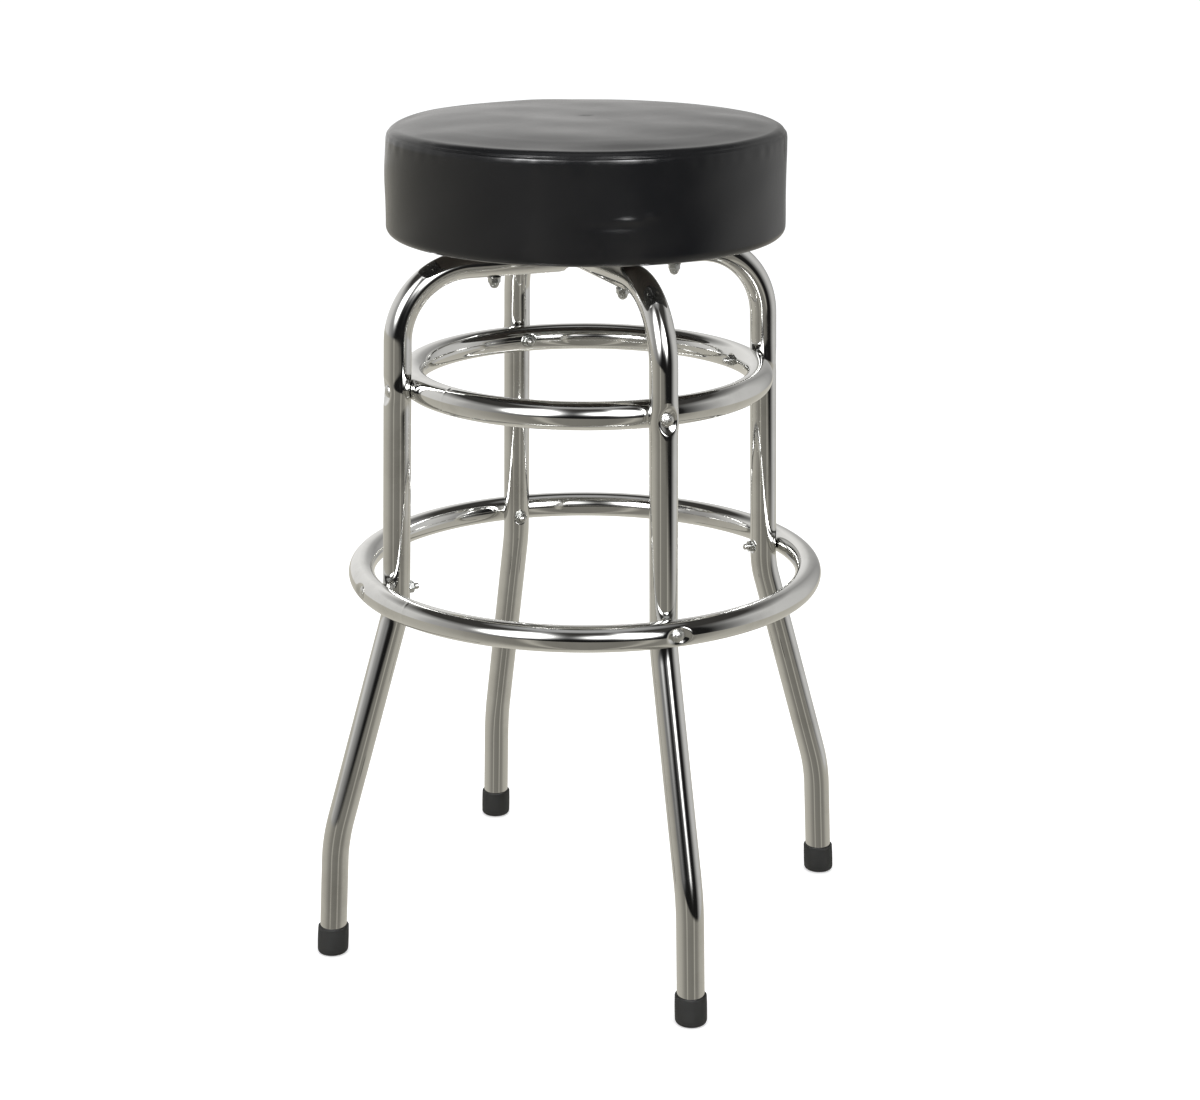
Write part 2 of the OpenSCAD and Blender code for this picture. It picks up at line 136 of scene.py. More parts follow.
def rotated(points: Array, angle: float) -> Array:
    """Points turned about the vertical axis by an angle in radians."""
    cos, sin = math.cos(angle), math.sin(angle)
    x, y, z = points[..., 0], points[..., 1], points[..., 2]
    return np.stack([cos * x - sin * y, sin * x + cos * y, z], axis=-1)


def spaced(start: float, end: float, step: float) -> Array:
    """Evenly spaced values from start to end, no further apart than step."""
    return np.linspace(start, end, max(2, int(math.ceil(abs(end - start) / step)) + 1))


def refined(start: float, end: float, step: float, places: list[float],
            reach: float, fine: float) -> Array:
    """Stations along a line, finer around some places.

    Args:
        start: first station.
        end: last station.
        step: spacing away from the places.
        places: where the spacing is fine.
        reach: how far to each side of a place the fine spacing goes.
        fine: the fine spacing.

    Returns:
        Rising stations.
    """
    dense = spaced(start, end, fine)
    near = np.full(dense.shape, np.inf)
    for place in places:
        near = np.minimum(near, np.abs(dense - place))
    weight = np.where(near < reach, 1.0 / fine, 1.0 / step)
    total = np.concatenate([[0.0], np.cumsum(0.5 * (weight[1:] + weight[:-1]) * np.diff(dense))])
    count = int(math.ceil(total[-1]))
    return np.interp(np.linspace(0.0, total[-1], count + 1), total, dense)


# ------------------------------------------------------------------ meshes


@dataclass
class Skin:
    """Points and faces that are gathered into one mesh."""

    points: list[Array] = field(default_factory=list)
    faces: list[list[int]] = field(default_factory=list)
    count: int = 0

    def grid(self, points: Array, wrap_rows: bool = False, wrap_cols: bool = True,
             cap_first: bool = False, cap_last: bool = False, flip: bool = False) -> "Skin":
        """Adds a grid of points as quads.

        Args:
            points: rows by columns by 3.
            wrap_rows: whether the last row joins the first.
            wrap_cols: whether each row closes on itself.
            cap_first: whether the first row is closed by a fan to its middle.
            cap_last: whether the last row is closed by a fan to its middle.
            flip: whether the faces are turned over.

        Returns:
            This skin.
        """
        rows, cols = points.shape[:2]
        r = np.arange(rows if wrap_rows else rows - 1)[:, None]
        c = np.arange(cols if wrap_cols else cols - 1)[None, :]
        r2, c2 = (r + 1) % rows, (c + 1) % cols
        quads = np.stack([r * cols + c, r * cols + c2, r2 * cols + c2, r2 * cols + c], axis=-1)
        quads = quads.reshape(-1, 4)
        stack = [points.reshape(-1, 3)]
        extra = []
        for wanted, row, turn in ((cap_first, 0, True), (cap_last, rows - 1, False)):
            if wanted:
                ring = np.arange(cols) + row * cols
                hub = np.full(cols, rows * cols + len(stack) - 1)
                fan = np.stack([ring, np.roll(ring, -1), hub], axis=-1)
                extra.append(fan[:, ::-1] if turn else fan)
                stack.append(points[row].mean(axis=0)[None, :])
        every = quads[:, ::-1] if flip else quads
        self.faces += (every + self.count).tolist()
        for fan in extra:
            self.faces += ((fan[:, ::-1] if flip else fan) + self.count).tolist()
        merged = np.concatenate(stack)
        self.points.append(merged)
        self.count += len(merged)
        return self

    def piece(self, name: str, body: Body, slot: Slot, nodes: tuple[str, ...] = ()) -> Object:
        """Makes the mesh object, with its body, slot and the nodes it stands for.

        Args:
            name: the piece's name.
            body: the body it rides on.
            slot: its material slot.
            nodes: the nodes it replaces.

        Returns:
            The new object.
        """
        mesh = bpy.data.meshes.new(name)
        mesh.from_pydata(np.concatenate(self.points).tolist(), [], self.faces)
        mesh.update()
        mesh.shade_smooth()
        made = bpy.data.objects.new(name, mesh)
        bpy.context.scene.collection.objects.link(made)
        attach(made, body.value)
        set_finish(made, slot.value)
        if nodes:
            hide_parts(*nodes)
        log.info("%s: %d points, %d faces", name, self.count, len(self.faces))
        return made


def turned_profile(radii: Array, heights: Array, sides: int) -> Array:
    """A profile of radius and height carried round the vertical axis.

    Args:
        radii: radius at each station.
        heights: height at each station.
        sides: points round the axis.

    Returns:
        Stations by sides by 3 points.
    """
    around = np.arange(sides) * (TURN / sides)
    r = np.broadcast_to(radii[:, None] if radii.ndim == 1 else radii, (len(heights), sides))
    z = np.broadcast_to(heights[:, None], r.shape)
    return np.stack([r * np.cos(around), r * np.sin(around), z], axis=-1)


def laid_along_x(points: Array) -> Array:
    """Turns points so that their own vertical axis points along +X."""
    return np.stack([points[..., 2], points[..., 1], -points[..., 0]], axis=-1)


# ------------------------------------------------------------------- pressing


@dataclass(frozen=True)
class BallPress:
    """A dimple pressed by a ball, with the metal raised a little at its sides."""

    centre: tuple[float, float, float]
    radius: float
    flat: float
    raise_by: float = 0.8 * MM
    raise_reach: float = 9.0 * MM

    def limit(self, origin: Array, way: Array) -> Array:
        """Distance along each ray from origin to the ball's near side.

        Formula: with b the ray's dot product with the line to the ball's centre and c that
        line's length squared less the radius squared, b minus the root of b squared less c.

        Args:
            origin: ray starts.
            way: unit ray directions.

        Returns:
            Distances, large where a ray misses.
        """
        to_centre = np.asarray(self.centre) - origin
        b = (to_centre * way).sum(-1)
        c = (to_centre**2).sum(-1) - self.radius**2
        under = b * b - c
        return np.where((under > 0) & (b > 0), b - np.sqrt(np.maximum(under, 0)), 1.0)


@dataclass(frozen=True)
class BarPress:
    """A saddle pressed by a round bar that crosses the tube along Y."""

    centre: tuple[float, float]
    radius: float

    def limit(self, origin: Array, way: Array) -> Array:
        """Distance along each ray to the bar, as for a circle in the XZ plane.

        Args:
            origin: ray starts.
            way: unit ray directions.

        Returns:
            Distances, large where a ray misses.
        """
        dx, dz = self.centre[0] - origin[..., 0], self.centre[1] - origin[..., 2]
        wx, wz = way[..., 0], way[..., 2]
        a = np.maximum(wx * wx + wz * wz, 1e-9)
        b = (dx * wx + dz * wz) / a
        c = (dx * dx + dz * dz - self.radius**2) / a
        under = b * b - c
        return np.where((under > 0) & (b > 0), b - np.sqrt(np.maximum(under, 0)), 1.0)


@dataclass(frozen=True)
class FlatPress:
    """A round flat for a nut on a tube's inner side, facing the middle of the stool."""

    centre: tuple[float, float, float]
    outward: tuple[float, float, float]
    radius: float = 6.2 * MM
    fade: float = 3.0 * MM

    def limit(self, origin: Array, way: Array) -> Array:
        """Distance along each ray to the flat's plane, released outside its circle.

        Args:
            origin: ray starts.
            way: unit ray directions.

        Returns:
            Distances, large where a ray misses.
        """
        axis, centre = np.asarray(self.outward), np.asarray(self.centre)
        inward = -(way @ axis)
        gap = (origin - centre) @ axis
        room = gap / np.maximum(inward, 0.05)
        hit = origin + room[..., None] * way - centre
        off = np.linalg.norm(hit - (hit @ axis)[..., None] * axis, axis=-1)
        room = room + 20 * MM * smooth_step(off, self.radius, self.radius + self.fade)
        return np.where((inward > 0.3) & (gap > 0), room, 1.0)


# ----------------------------------------------------------------- sizes


@dataclass
class StoolSizes:
    """Driving dimensions, in metres; what the frame can tell is read from it."""

    leg_r: float = 12.5 * MM
    arm_height: float = 646.0 * MM
    shoulder: tuple[float, float] = (178.0 * MM, 646.0 * MM)
    knee: tuple[float, float] = (186.0 * MM, 332.0 * MM)
    ankle: tuple[float, float] = (250.0 * MM, 113.0 * MM)
    sole: tuple[float, float] = (256.0 * MM, 0.0)
    shoulder_bend: float = 67.0 * MM
    knee_bend: float = 100.0 * MM
    ankle_bend: float = 180.0 * MM
    tube_end: float = 7.5 * MM
    dimple_depth: float = 5.0 * MM
    dimple_radius: float = 16.0 * MM
    flat_depth: float = 1.5 * MM
    bolt_reach: float = 88.0 * MM
    bolt_r: float = 3.0 * MM
    nut_width: float = 10.0 * MM
    nut_height: float = 5.0 * MM
    inner_r: float = 0.0
    inner_radius: float = 0.0
    inner_height: float = 0.0
    rest_r: float = 0.0
    rest_radius: float = 0.0
    rest_height: float = 0.0

    def __post_init__(self) -> None:
        """Reads both rings' places from the frame."""
        for prefix, node, bar in (("inner", "inner_ring", 12.5 * MM),
                                  ("rest", "footrest_ring", 12.0 * MM)):
            low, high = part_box(node)
            setattr(self, f"{prefix}_r", bar)
            setattr(self, f"{prefix}_radius", ring_radius(node, bar))
            setattr(self, f"{prefix}_height", 0.5 * (low[2] + high[2]))

    def leg_reach(self, height: float) -> float:
        """How far the leg's centre line is from the middle, above the knee."""
        share = (height - self.knee[1]) / (self.shoulder[1] - self.knee[1])
        return self.knee[0] + share * (self.shoulder[0] - self.knee[0])


def ring_radius(node: str, bar: float) -> float:
    """The radius of a ring's centre line, from its widest points and its bar's radius."""
    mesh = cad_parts[node].data
    co = np.empty(len(mesh.vertices) * 3)
    mesh.vertices.foreach_get("co", co)
    co = co.reshape(-1, 3)
    return float(np.hypot(co[:, 0], co[:, 1]).max()) - bar


# ------------------------------------------------------------- tube frame


@dataclass
class CentreLine:
    """A flat centre line: straight stretches joined by arcs."""

    corners: Array
    bends: tuple[float, ...]

    def sampled(self, step: float = 0.5 * MM) -> tuple[Array, Array]:
        """Closely spaced points along the line.

        At each corner the arc's centre lies on the bisector, at the bend radius over the sine
        of half the corner's angle; a point of the arc is centre plus radius times a direction
        that turns evenly from one tangent point to the other.

        Args:
            step: spacing of the points.

        Returns:
            Distance along the line, and reach and height at each distance.
        """
        c = self.corners
        runs = [c[:1]]
        for i in range(1, len(c) - 1):
            before = (c[i - 1] - c[i]) / np.linalg.norm(c[i - 1] - c[i])
            after = (c[i + 1] - c[i]) / np.linalg.norm(c[i + 1] - c[i])
            half = 0.5 * math.acos(float(np.clip(before @ after, -1, 1)))
            bisector = (before + after) / np.linalg.norm(before + after)
            centre = c[i] + bisector * self.bends[i] / math.sin(half)
            back = self.bends[i] / math.tan(half)
            first = c[i] + before * back - centre
            last = c[i] + after * back - centre
            start = math.atan2(first[1], first[0])
            sweep = math.atan2(
                first[0] * last[1] - first[1] * last[0], float(first @ last)
            )
            angle = start + spaced(0.0, sweep, step / self.bends[i])
            runs.append(centre + self.bends[i] * np.stack([np.cos(angle), np.sin(angle)], -1))
        runs.append(c[-1:])
        corners = np.concatenate(runs)
        along = np.concatenate([[0.0], np.cumsum(np.linalg.norm(np.diff(corners, axis=0), axis=1))])
        fine = spaced(0.0, along[-1], step)
        points = np.stack([np.interp(fine, along, corners[:, k]) for k in (0, 1)], axis=-1)
        return fine, points


@dataclass
class LegTube:
    """One U-shaped tube, built in the XZ plane: two legs and the arm between them."""

    sizes: StoolSizes
    keeps_top: bool
    sides: int = 72
    spacing: tuple[float, float, float] = (3.5 * MM, 20.0 * MM, 0.7 * MM)
    notch_half: float = 13.5 * MM
    notch_ramp: float = 13.0 * MM
    notch_skin: float = 0.15 * MM
    dimple_flat: float = 6.2 * MM

    def centre_line(self) -> tuple[Array, Array, Array]:
        """The whole line from one end to the other, mirrored about the middle.

        Returns:
            Signed distance from the middle, positions (reach, height), and unit tangents.
        """
        s = self.sizes
        share = (s.tube_end - s.sole[1]) / (s.ankle[1] - s.sole[1])
        end = (s.sole[0] + share * (s.ankle[0] - s.sole[0]), s.tube_end)
        corners = np.array([(0.0, s.arm_height), s.shoulder, s.knee, s.ankle, end])
        bends = (0.0, s.shoulder_bend, s.knee_bend, s.ankle_bend, 0.0)
        along, points = CentreLine(corners, bends).sampled()
        both = np.concatenate([-along[::-1], along[1:]])
        line = np.concatenate([points[::-1] * (-1, 1), points[1:]])
        tangent = np.gradient(line, both, axis=0)
        tangent /= np.linalg.norm(tangent, axis=1, keepdims=True)
        return both, line, tangent

    def surface(self) -> Array:
        """The tube's outer surface as rings of points.

        Formula: a point is the centre line plus a radius times a direction that goes round the
        tangent. The radius is the tube's own, cut down softly to the nearest press along that
        direction, and raised a little beside each dimple.

        Returns:
            Stations by sides by 3 points.
        """
        s = self.sizes
        both, line, tangent = self.centre_line()
        marks = []
        for height in (s.inner_height, s.rest_height):
            for side in (-1, 1):
                on_side = np.where(np.sign(both) == side, np.abs(line[:, 1] - height), 9.0)
                marks.append(float(both[on_side.argmin()]))
        coarse, reach, fine = self.spacing
        stations = refined(both[0], both[-1], coarse, marks, reach, fine)
        centre = np.stack([np.interp(stations, both, line[:, k]) for k in (0, 1)], -1)
        along = np.stack([np.interp(stations, both, tangent[:, k]) for k in (0, 1)], -1)
        zero = np.zeros(len(stations))
        origin = np.stack([centre[:, 0], zero, centre[:, 1]], -1)[:, None, :]
        normal = np.stack([-along[:, 1], zero, along[:, 0]], -1)[:, None, :]
        around = (np.arange(self.sides) * (TURN / self.sides))[None, :, None]
        way = np.cos(around) * normal + np.sin(around) * np.array([0.0, 1.0, 0.0])
        origin = np.broadcast_to(origin, way.shape)
        radius = np.full(way.shape[:2], s.leg_r)
        for side in (-1, 1):
            head = side * (s.leg_reach(s.inner_height) + s.leg_r - s.dimple_depth)
            ball = BallPress((head + side * s.dimple_radius, 0.0, s.inner_height),
                             s.dimple_radius, self.dimple_flat)
            near = bell(np.where(np.sign(origin[..., 0]) == side,
                                 origin[..., 2] - s.inner_height, 1.0), ball.raise_reach)
            radius = radius + ball.raise_by * near * way[..., 1] ** 2
            radius = blend_min(radius, ball.limit(origin, way), DIMPLE_EDGE)
            inner_side = s.leg_reach(s.rest_height) - s.leg_r + s.flat_depth
            flat = FlatPress((side * inner_side, 0.0, s.rest_height), (side, 0.0, 0.0))
            radius = blend_min(radius, flat.limit(origin, way), PRESS_EDGE)
            for ring, bar, height in ((s.inner_radius, s.inner_r, s.inner_height),
                                      (s.rest_radius, s.rest_r, s.rest_height)):
                saddle = BarPress((side * ring, height), bar)
                radius = blend_min(radius, saddle.limit(origin, way), PRESS_EDGE)
        radius = blend_min(radius, self.crossing(origin, way), NOTCH_EDGE)
        return origin + radius[..., None] * way

    def crossing(self, origin: Array, way: Array) -> Array:
        """How far a ray may go where the arm gives up half of itself to the other arm.

        Formula: the depth left grows from nothing at the notch's floor to a full radius over
        the ramp; a ray that points into the notch stops at that depth over its own steepness.

        Args:
            origin: ray starts.
            way: unit ray directions.

        Returns:
            Distances, large where a ray points the other way.
        """
        side = -1.0 if self.keeps_top else 1.0
        from_middle = np.abs(origin[..., 0])
        depth = self.notch_skin + self.sizes.leg_r * 1.3 * np.clip(
            (from_middle - self.notch_half) / self.notch_ramp, 0.0, 2.0)
        steep = side * way[..., 2]
        inside = (steep > 0.02) & (from_middle < self.notch_half + 2 * self.notch_ramp)
        return np.where(inside, depth / np.maximum(steep, 0.02), 1.0)

    def build(self, name: str, node: str, quarter: int) -> Object:
        """Makes the tube.

        Args:
            name: the piece's name.
            node: the node it replaces.
            quarter: quarter turns about the vertical axis.

        Returns:
            The piece.
        """
        points = turned(self.surface(), quarter)
        skin = Skin().grid(points, cap_first=True, cap_last=True)
        return skin.piece(name, Body.FRAME, Slot.CHROME, (node,))


@dataclass
class RingTube:
    """A closed ring of tube, pressed where the bolts hold it."""

    radius: float
    bar: float
    height: float
    sizes: StoolSizes
    dimpled: bool
    weld_angle: float = math.radians(201.0)
    weld_height: float = 0.12 * MM
    weld_width: float = 1.2 * MM
    spacing: tuple[float, float, float] = (4.0 * MM, 22.0 * MM, 0.8 * MM)
    sides: int = 72

    def surface(self) -> Array:
        """The ring's surface.

        Formula: a point is the circle's point plus a radius times a direction that goes round
        the bar; the radius is cut down at the four bolts by a ball from outside, or by a flat
        from inside, and raised slightly along the weld.

        Returns:
            Stations by sides by 3 points.
        """
        s = self.sizes
        quarter = 0.5 * math.pi
        marks = [k * quarter * self.radius for k in range(5)]
        marks.append(self.weld_angle * self.radius)
        coarse, reach, fine = self.spacing
        stations = refined(0.0, TURN * self.radius, coarse, marks, reach, fine)[:-1]
        angle = (stations / self.radius)[:, None, None]
        out = np.concatenate([np.cos(angle), np.sin(angle), 0 * angle], -1)
        up = np.array([0.0, 0.0, 1.0])
        around = (np.arange(self.sides) * (TURN / self.sides))[None, :, None]
        way = np.cos(around) * out + np.sin(around) * up
        origin = np.broadcast_to(self.radius * out + self.height * up, way.shape)
        radius = np.full(way.shape[:2], self.bar)
        for k in range(4):
            bolt = turned(np.array([1.0, 0.0, 0.0]), k)
            if self.dimpled:
                reach = self.radius + self.bar - s.dimple_depth + s.dimple_radius
                ball = BallPress(tuple(bolt * reach + up * self.height), s.dimple_radius, 0.0)
                radius = blend_min(radius, ball.limit(origin, way), DIMPLE_EDGE)
            else:
                flat = FlatPress(tuple(bolt * (self.radius - self.bar + s.flat_depth)
                                       + up * self.height), tuple(bolt))
                radius = blend_min(radius, flat.limit(origin, way), PRESS_EDGE)
        away = (stations - self.weld_angle * self.radius)[:, None]
        radius = radius + self.weld_height * bell(away, self.weld_width)
        return origin + radius[..., None] * way

    def build(self, name: str, node: str) -> Object:
        """Makes the ring.

        Args:
            name: the piece's name.
            node: the node it replaces.

        Returns:
            The piece.
        """
        skin = Skin().grid(self.surface(), wrap_rows=True)
        return skin.piece(name, Body.FRAME, Slot.CHROME, (node,))


# -------------------------------------------------------------- fasteners


class HeadKind(Enum):
    """Shapes of a bolt's head."""

    DOME = "dome"
    PAN = "pan"


@dataclass
class Bolt:
    """A bolt along +Z: its head above zero, its shank below, threads to its end."""

    shank_r: float
    length: float
    head: HeadKind = HeadKind.DOME
    head_r: float = 6.0 * MM
    head_height: float = 4.0 * MM
    pitch: float = 1.0 * MM
    sides: int = 40

    def head_points(self) -> Array:
        """The head's surface: a flank, a dome or pan top, and a shallow rounded edge.

        Formula: the height over the flank falls as the root of one less the share of the
        radius squared, and a pan has that share raised to the third power.

        Returns:
            Rings of points from the underside's middle to the top.
        """
        edge = 0.6 * MM
        power = 2.0 if self.head is HeadKind.DOME else 5.0
        share = np.sin(np.linspace(0.5 * math.pi, 0.02, 22))
        top = edge + (self.head_height - edge) * np.power(
            np.clip(1 - share**power, 0, 1), 1.0 / (2.0 if power == 2.0 else power))
        radii = np.concatenate([[0.3, 0.97, 1.0], share]) * self.head_r
        heights = np.concatenate([[0.0, 0.0, 0.25 * edge], top])
        return turned_profile(radii, heights, self.sides)

    def shank_points(self) -> Array:
        """The threaded shank: a helix whose crest height follows a soft zigzag.

        Formula: the radius is the shank's less a share of the thread's depth, by the cosine of
        a whole turn for each pitch of height less the angle round the axis.

        Returns:
            Rings of points from the head down to the end.
        """
        heights = spaced(0.5 * MM, -self.length, self.pitch / 7)[:, None]
        around = (np.arange(self.sides) * (TURN / self.sides))[None, :]
        wave = 0.5 - 0.5 * np.cos(TURN * heights / self.pitch - around)
        radius = self.shank_r - 0.30 * MM * wave
        tip = smooth_step(heights, -self.length, -self.length + 0.9 * MM)
        radius = radius * (0.72 + 0.28 * tip)
        return np.stack([radius * np.cos(around), radius * np.sin(around),
                         np.broadcast_to(heights, radius.shape)], -1)


@dataclass
class Nut:
    """A hexagonal nut standing on zero, with chamfered corners, open or domed."""

    width: float = 10.0 * MM
    height: float = 5.0 * MM
    dome: float = 0.0
    sides: int = 72

    def points(self) -> Array:
        """The nut's outer surface.

        Formula: the hexagon's radius is half its width over the cosine of the angle to the
        nearest flat, cut by a cone at both faces; a dome is a quarter ellipse above.

        Returns:
            Rings of points from the bottom to the top.
        """
        around = np.arange(self.sides) * (TURN / self.sides)
        sixth = TURN / 6
        to_flat = (around + sixth / 2) % sixth - sixth / 2
        hexagon = 0.5 * self.width / np.cos(to_flat)
        edge = 0.9 * MM
        heights = np.concatenate([[0.0, 0.0], np.linspace(0.0, edge, 5),
                                  np.linspace(edge, self.height - edge, 4)[1:],
                                  np.linspace(self.height - edge, self.height, 5)[1:]])
        cone = 0.5 * self.width * 0.97 + 1.75 * np.minimum(heights, self.height - heights)
        radius = blend_min(hexagon[None, :] + 0 * cone[:, None], cone[:, None], 0.12 * MM)
        radius[0] *= 0.62
        rings = [np.stack([radius * np.cos(around), radius * np.sin(around),
                           np.broadcast_to(heights[:, None], radius.shape)], -1)]
        if self.dome > 0:
            angle = np.linspace(0.0, 0.5 * math.pi - 0.04, 14)
            rings.append(turned_profile(0.46 * self.width * np.cos(angle),
                                        self.height + self.dome * np.sin(angle), self.sides))
        else:
            inner = np.full(3, 0.31 * self.width)
            rings.append(turned_profile(inner, self.height - np.array([0, 0.4, 1.5]) * MM,
                                        self.sides))
        return np.concatenate(rings)


@dataclass
class Fasteners:
    """All bolts, nuts and washers of the frame and the swivel."""

    sizes: StoolSizes
    bolt_end: float = 5.0 * MM
    pan_r: float = 5.5 * MM
    pan_height: float = 3.0 * MM
    plate: float = 2.0 * MM
    swivel_bolt_end: float = 6.0 * MM
    screw_length: float = 13.0 * MM
    acorn: tuple[float, float] = (4.5 * MM, 5.2 * MM)

    def along(self, points: Array, reach: float, height: float, quarter: int,
              outward: bool) -> Array:
        """Lays a piece made along +Z so that it points outward or inward on one side.

        Args:
            points: the piece's points.
            reach: where its zero lies.
            height: the height of its axis.
            quarter: which of the four sides.
            outward: whether its +Z points away from the middle.

        Returns:
            The placed points.
        """
        laid = laid_along_x(points)
        if not outward:
            laid = laid * (-1, -1, 1)
        return turned(laid + (reach, 0.0, height), quarter)

    def ring_set(self, bolts: str, nuts: str, head: float, nut: float, height: float) -> None:
        """The four bolts and nuts that hold one ring.

        Args:
            bolts: the bolts' node.
            nuts: the nuts' node.
            head: reach of the face under the heads.
            nut: reach of the face under the nuts.
            height: height of the bolts.
        """
        s = self.sizes
        length = head - nut + s.nut_height + self.bolt_end
        bolt = Bolt(s.bolt_r, length)
        bolt_skin, nut_skin = Skin(), Skin()
        for k in range(4):
            bolt_skin.grid(self.along(bolt.head_points(), head, height, k, True),
                           cap_first=True, cap_last=True)
            bolt_skin.grid(self.along(bolt.shank_points(), head, height, k, True),
                           cap_first=True, cap_last=True)
            twist = rotated(Nut(s.nut_width, s.nut_height).points(), 0.35 + 0.9 * k)
            nut_skin.grid(self.along(twist, nut, height, k, False),
                          cap_first=True, cap_last=True)
        bolt_skin.piece(bolts + "_set", Body.FRAME, Slot.DOME_HEAD, (bolts,))
        nut_skin.piece(nuts + "_set", Body.FRAME, Slot.FASTENER, (nuts,))

    def swivel_set(self) -> None:
        """Bolts, washers and dome nuts that hold the swivel on the arms."""
        s = self.sizes
        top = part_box("swivel_lower_plate")[0][2] + self.plate
        bottom = s.arm_height - s.leg_r
        bolt = Bolt(s.bolt_r, top - bottom + self.swivel_bolt_end, HeadKind.PAN, self.pan_r,
                    self.pan_height)
        washer_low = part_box("swivel_washers")[0][2]
        bolts, washers, nuts = Skin(), Skin(), Skin()
        band = np.array([3.3, 6.0, 6.1, 6.1, 6.0, 3.3]) * MM
        rise = np.array([0.0, 0.0, 0.1, 1.1, 1.2, 1.2]) * MM
        for k in range(4):
            place = (s.bolt_reach, 0.0, 0.0)
            head = bolt.head_points() + (0.0, 0.0, top)
            shank = bolt.shank_points() + (0.0, 0.0, top)
            bolts.grid(turned(head + place, k), cap_first=True, cap_last=True)
            bolts.grid(turned(shank + place, k), cap_first=True, cap_last=True)
            ring = turned_profile(band, rise + washer_low, 40)
            washers.grid(turned(ring + place, k), wrap_rows=True)
            acorn = rotated(Nut(s.nut_width, *self.acorn).points(), 0.2 + 0.8 * k)
            acorn = acorn * (1, -1, -1) + (0.0, 0.0, washer_low)
            nuts.grid(turned(acorn + place, k), cap_first=True, cap_last=True)
        bolts.piece("swivel_bolt_set", Body.FRAME, Slot.FASTENER, ("swivel_bolts",))
        washers.piece("swivel_washer_set", Body.FRAME, Slot.FASTENER, ("swivel_washers",))
        nuts.piece("dome_nut_set", Body.FRAME, Slot.FASTENER, ("swivel_dome_nuts",))

    def seat_screw_set(self) -> None:
        """Pan head screws up through the upper plate."""
        s = self.sizes
        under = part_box("swivel_upper_plate")[1][2] - self.plate
        screw = Bolt(s.bolt_r, self.screw_length, HeadKind.PAN, self.pan_r, self.pan_height)
        skin = Skin()
        for k in range(4):
            for part in (screw.head_points(), screw.shank_points()):
                upright = part * (1, -1, -1) + (s.bolt_reach, 0.0, under)
                skin.grid(rotated(turned(upright, k), math.radians(45)),
                          cap_first=True, cap_last=True)
        skin.piece("seat_screw_set", Body.SEAT, Slot.FASTENER, ("seat_screws",))

    def build(self) -> None:
        """Makes every fastener."""
        s = self.sizes
        self.ring_set("inner_ring_bolts", "inner_ring_nuts",
                      s.leg_reach(s.inner_height) + s.leg_r - s.dimple_depth,
                      s.inner_radius - s.inner_r + s.flat_depth, s.inner_height)
        self.ring_set("footrest_bolts", "footrest_nuts",
                      s.rest_radius + s.rest_r - s.dimple_depth,
                      s.leg_reach(s.rest_height) - s.leg_r + s.flat_depth, s.rest_height)
        self.swivel_set()
        self.seat_screw_set()


@dataclass
class RubberFoot:
    """A moulded rubber cap on the end of a leg."""

    sizes: StoolSizes
    outer_r: float = 14.5 * MM
    height: float = 27.0 * MM
    slack: float = 0.15 * MM
    lip: float = 0.9 * MM
    barrel: float = 0.25 * MM
    sole_r: float = 3.2 * MM
    socket: float = 12.0 * MM
    sides: int = 64

    def points(self) -> Array:
        """The cap's surface about its own axis, from the inner rim to the sole's middle.

        The outline is a rounded lip, a barrel-shaped side and a rounded sole.

        Returns:
            Rings of points.
        """
        r, h = self.outer_r, self.height
        leg = self.sizes.leg_r
        lip = np.linspace(0.0, math.pi, 9)
        lip_r = 0.5 * (leg + r) - 0.5 * (r - leg) * np.cos(lip) - self.slack
        lip_z = h - self.lip + self.lip * np.sin(lip)
        rise = np.linspace(h - 1.0 * MM, self.sole_r, 26)
        side_r = r - self.slack + self.barrel * np.sin(math.pi * rise / h)
        turn = np.linspace(0.0, 0.5 * math.pi, 9)
        sole_r = r - self.slack - self.sole_r * (1.0 - np.cos(turn))
        sole_z = self.sole_r * (1.0 - np.sin(turn))
        radii = np.concatenate([[leg, leg], lip_r, side_r[1:], sole_r[1:], [0.5 * r, 0.1 * r]])
        heights = np.concatenate([[h - self.socket, h - 2 * MM], lip_z, rise[1:], sole_z[1:],
                                  [0, 0]])
        return turned_profile(radii, heights, self.sides)

    def build(self, name: str, node: str, quarter: int) -> Object:
        """Makes one foot, leaning with its leg but with its sole on the floor.

        Formula: each ring moves outward less and less with height, by the leg's lean.

        Args:
            name: the piece's name.
            node: the node it replaces.
            quarter: which of the four legs.

        Returns:
            The piece.
        """
        s = self.sizes
        lean = (s.ankle[0] - s.sole[0]) / s.ankle[1]
        points = self.points()
        points[..., 0] += s.sole[0] + lean * points[..., 2]
        skin = Skin().grid(turned(points, quarter), cap_first=True, cap_last=True)
        return skin.piece(name, Body.FRAME, Slot.RUBBER, (node,))


# ------------------------------------------------------------------- seat


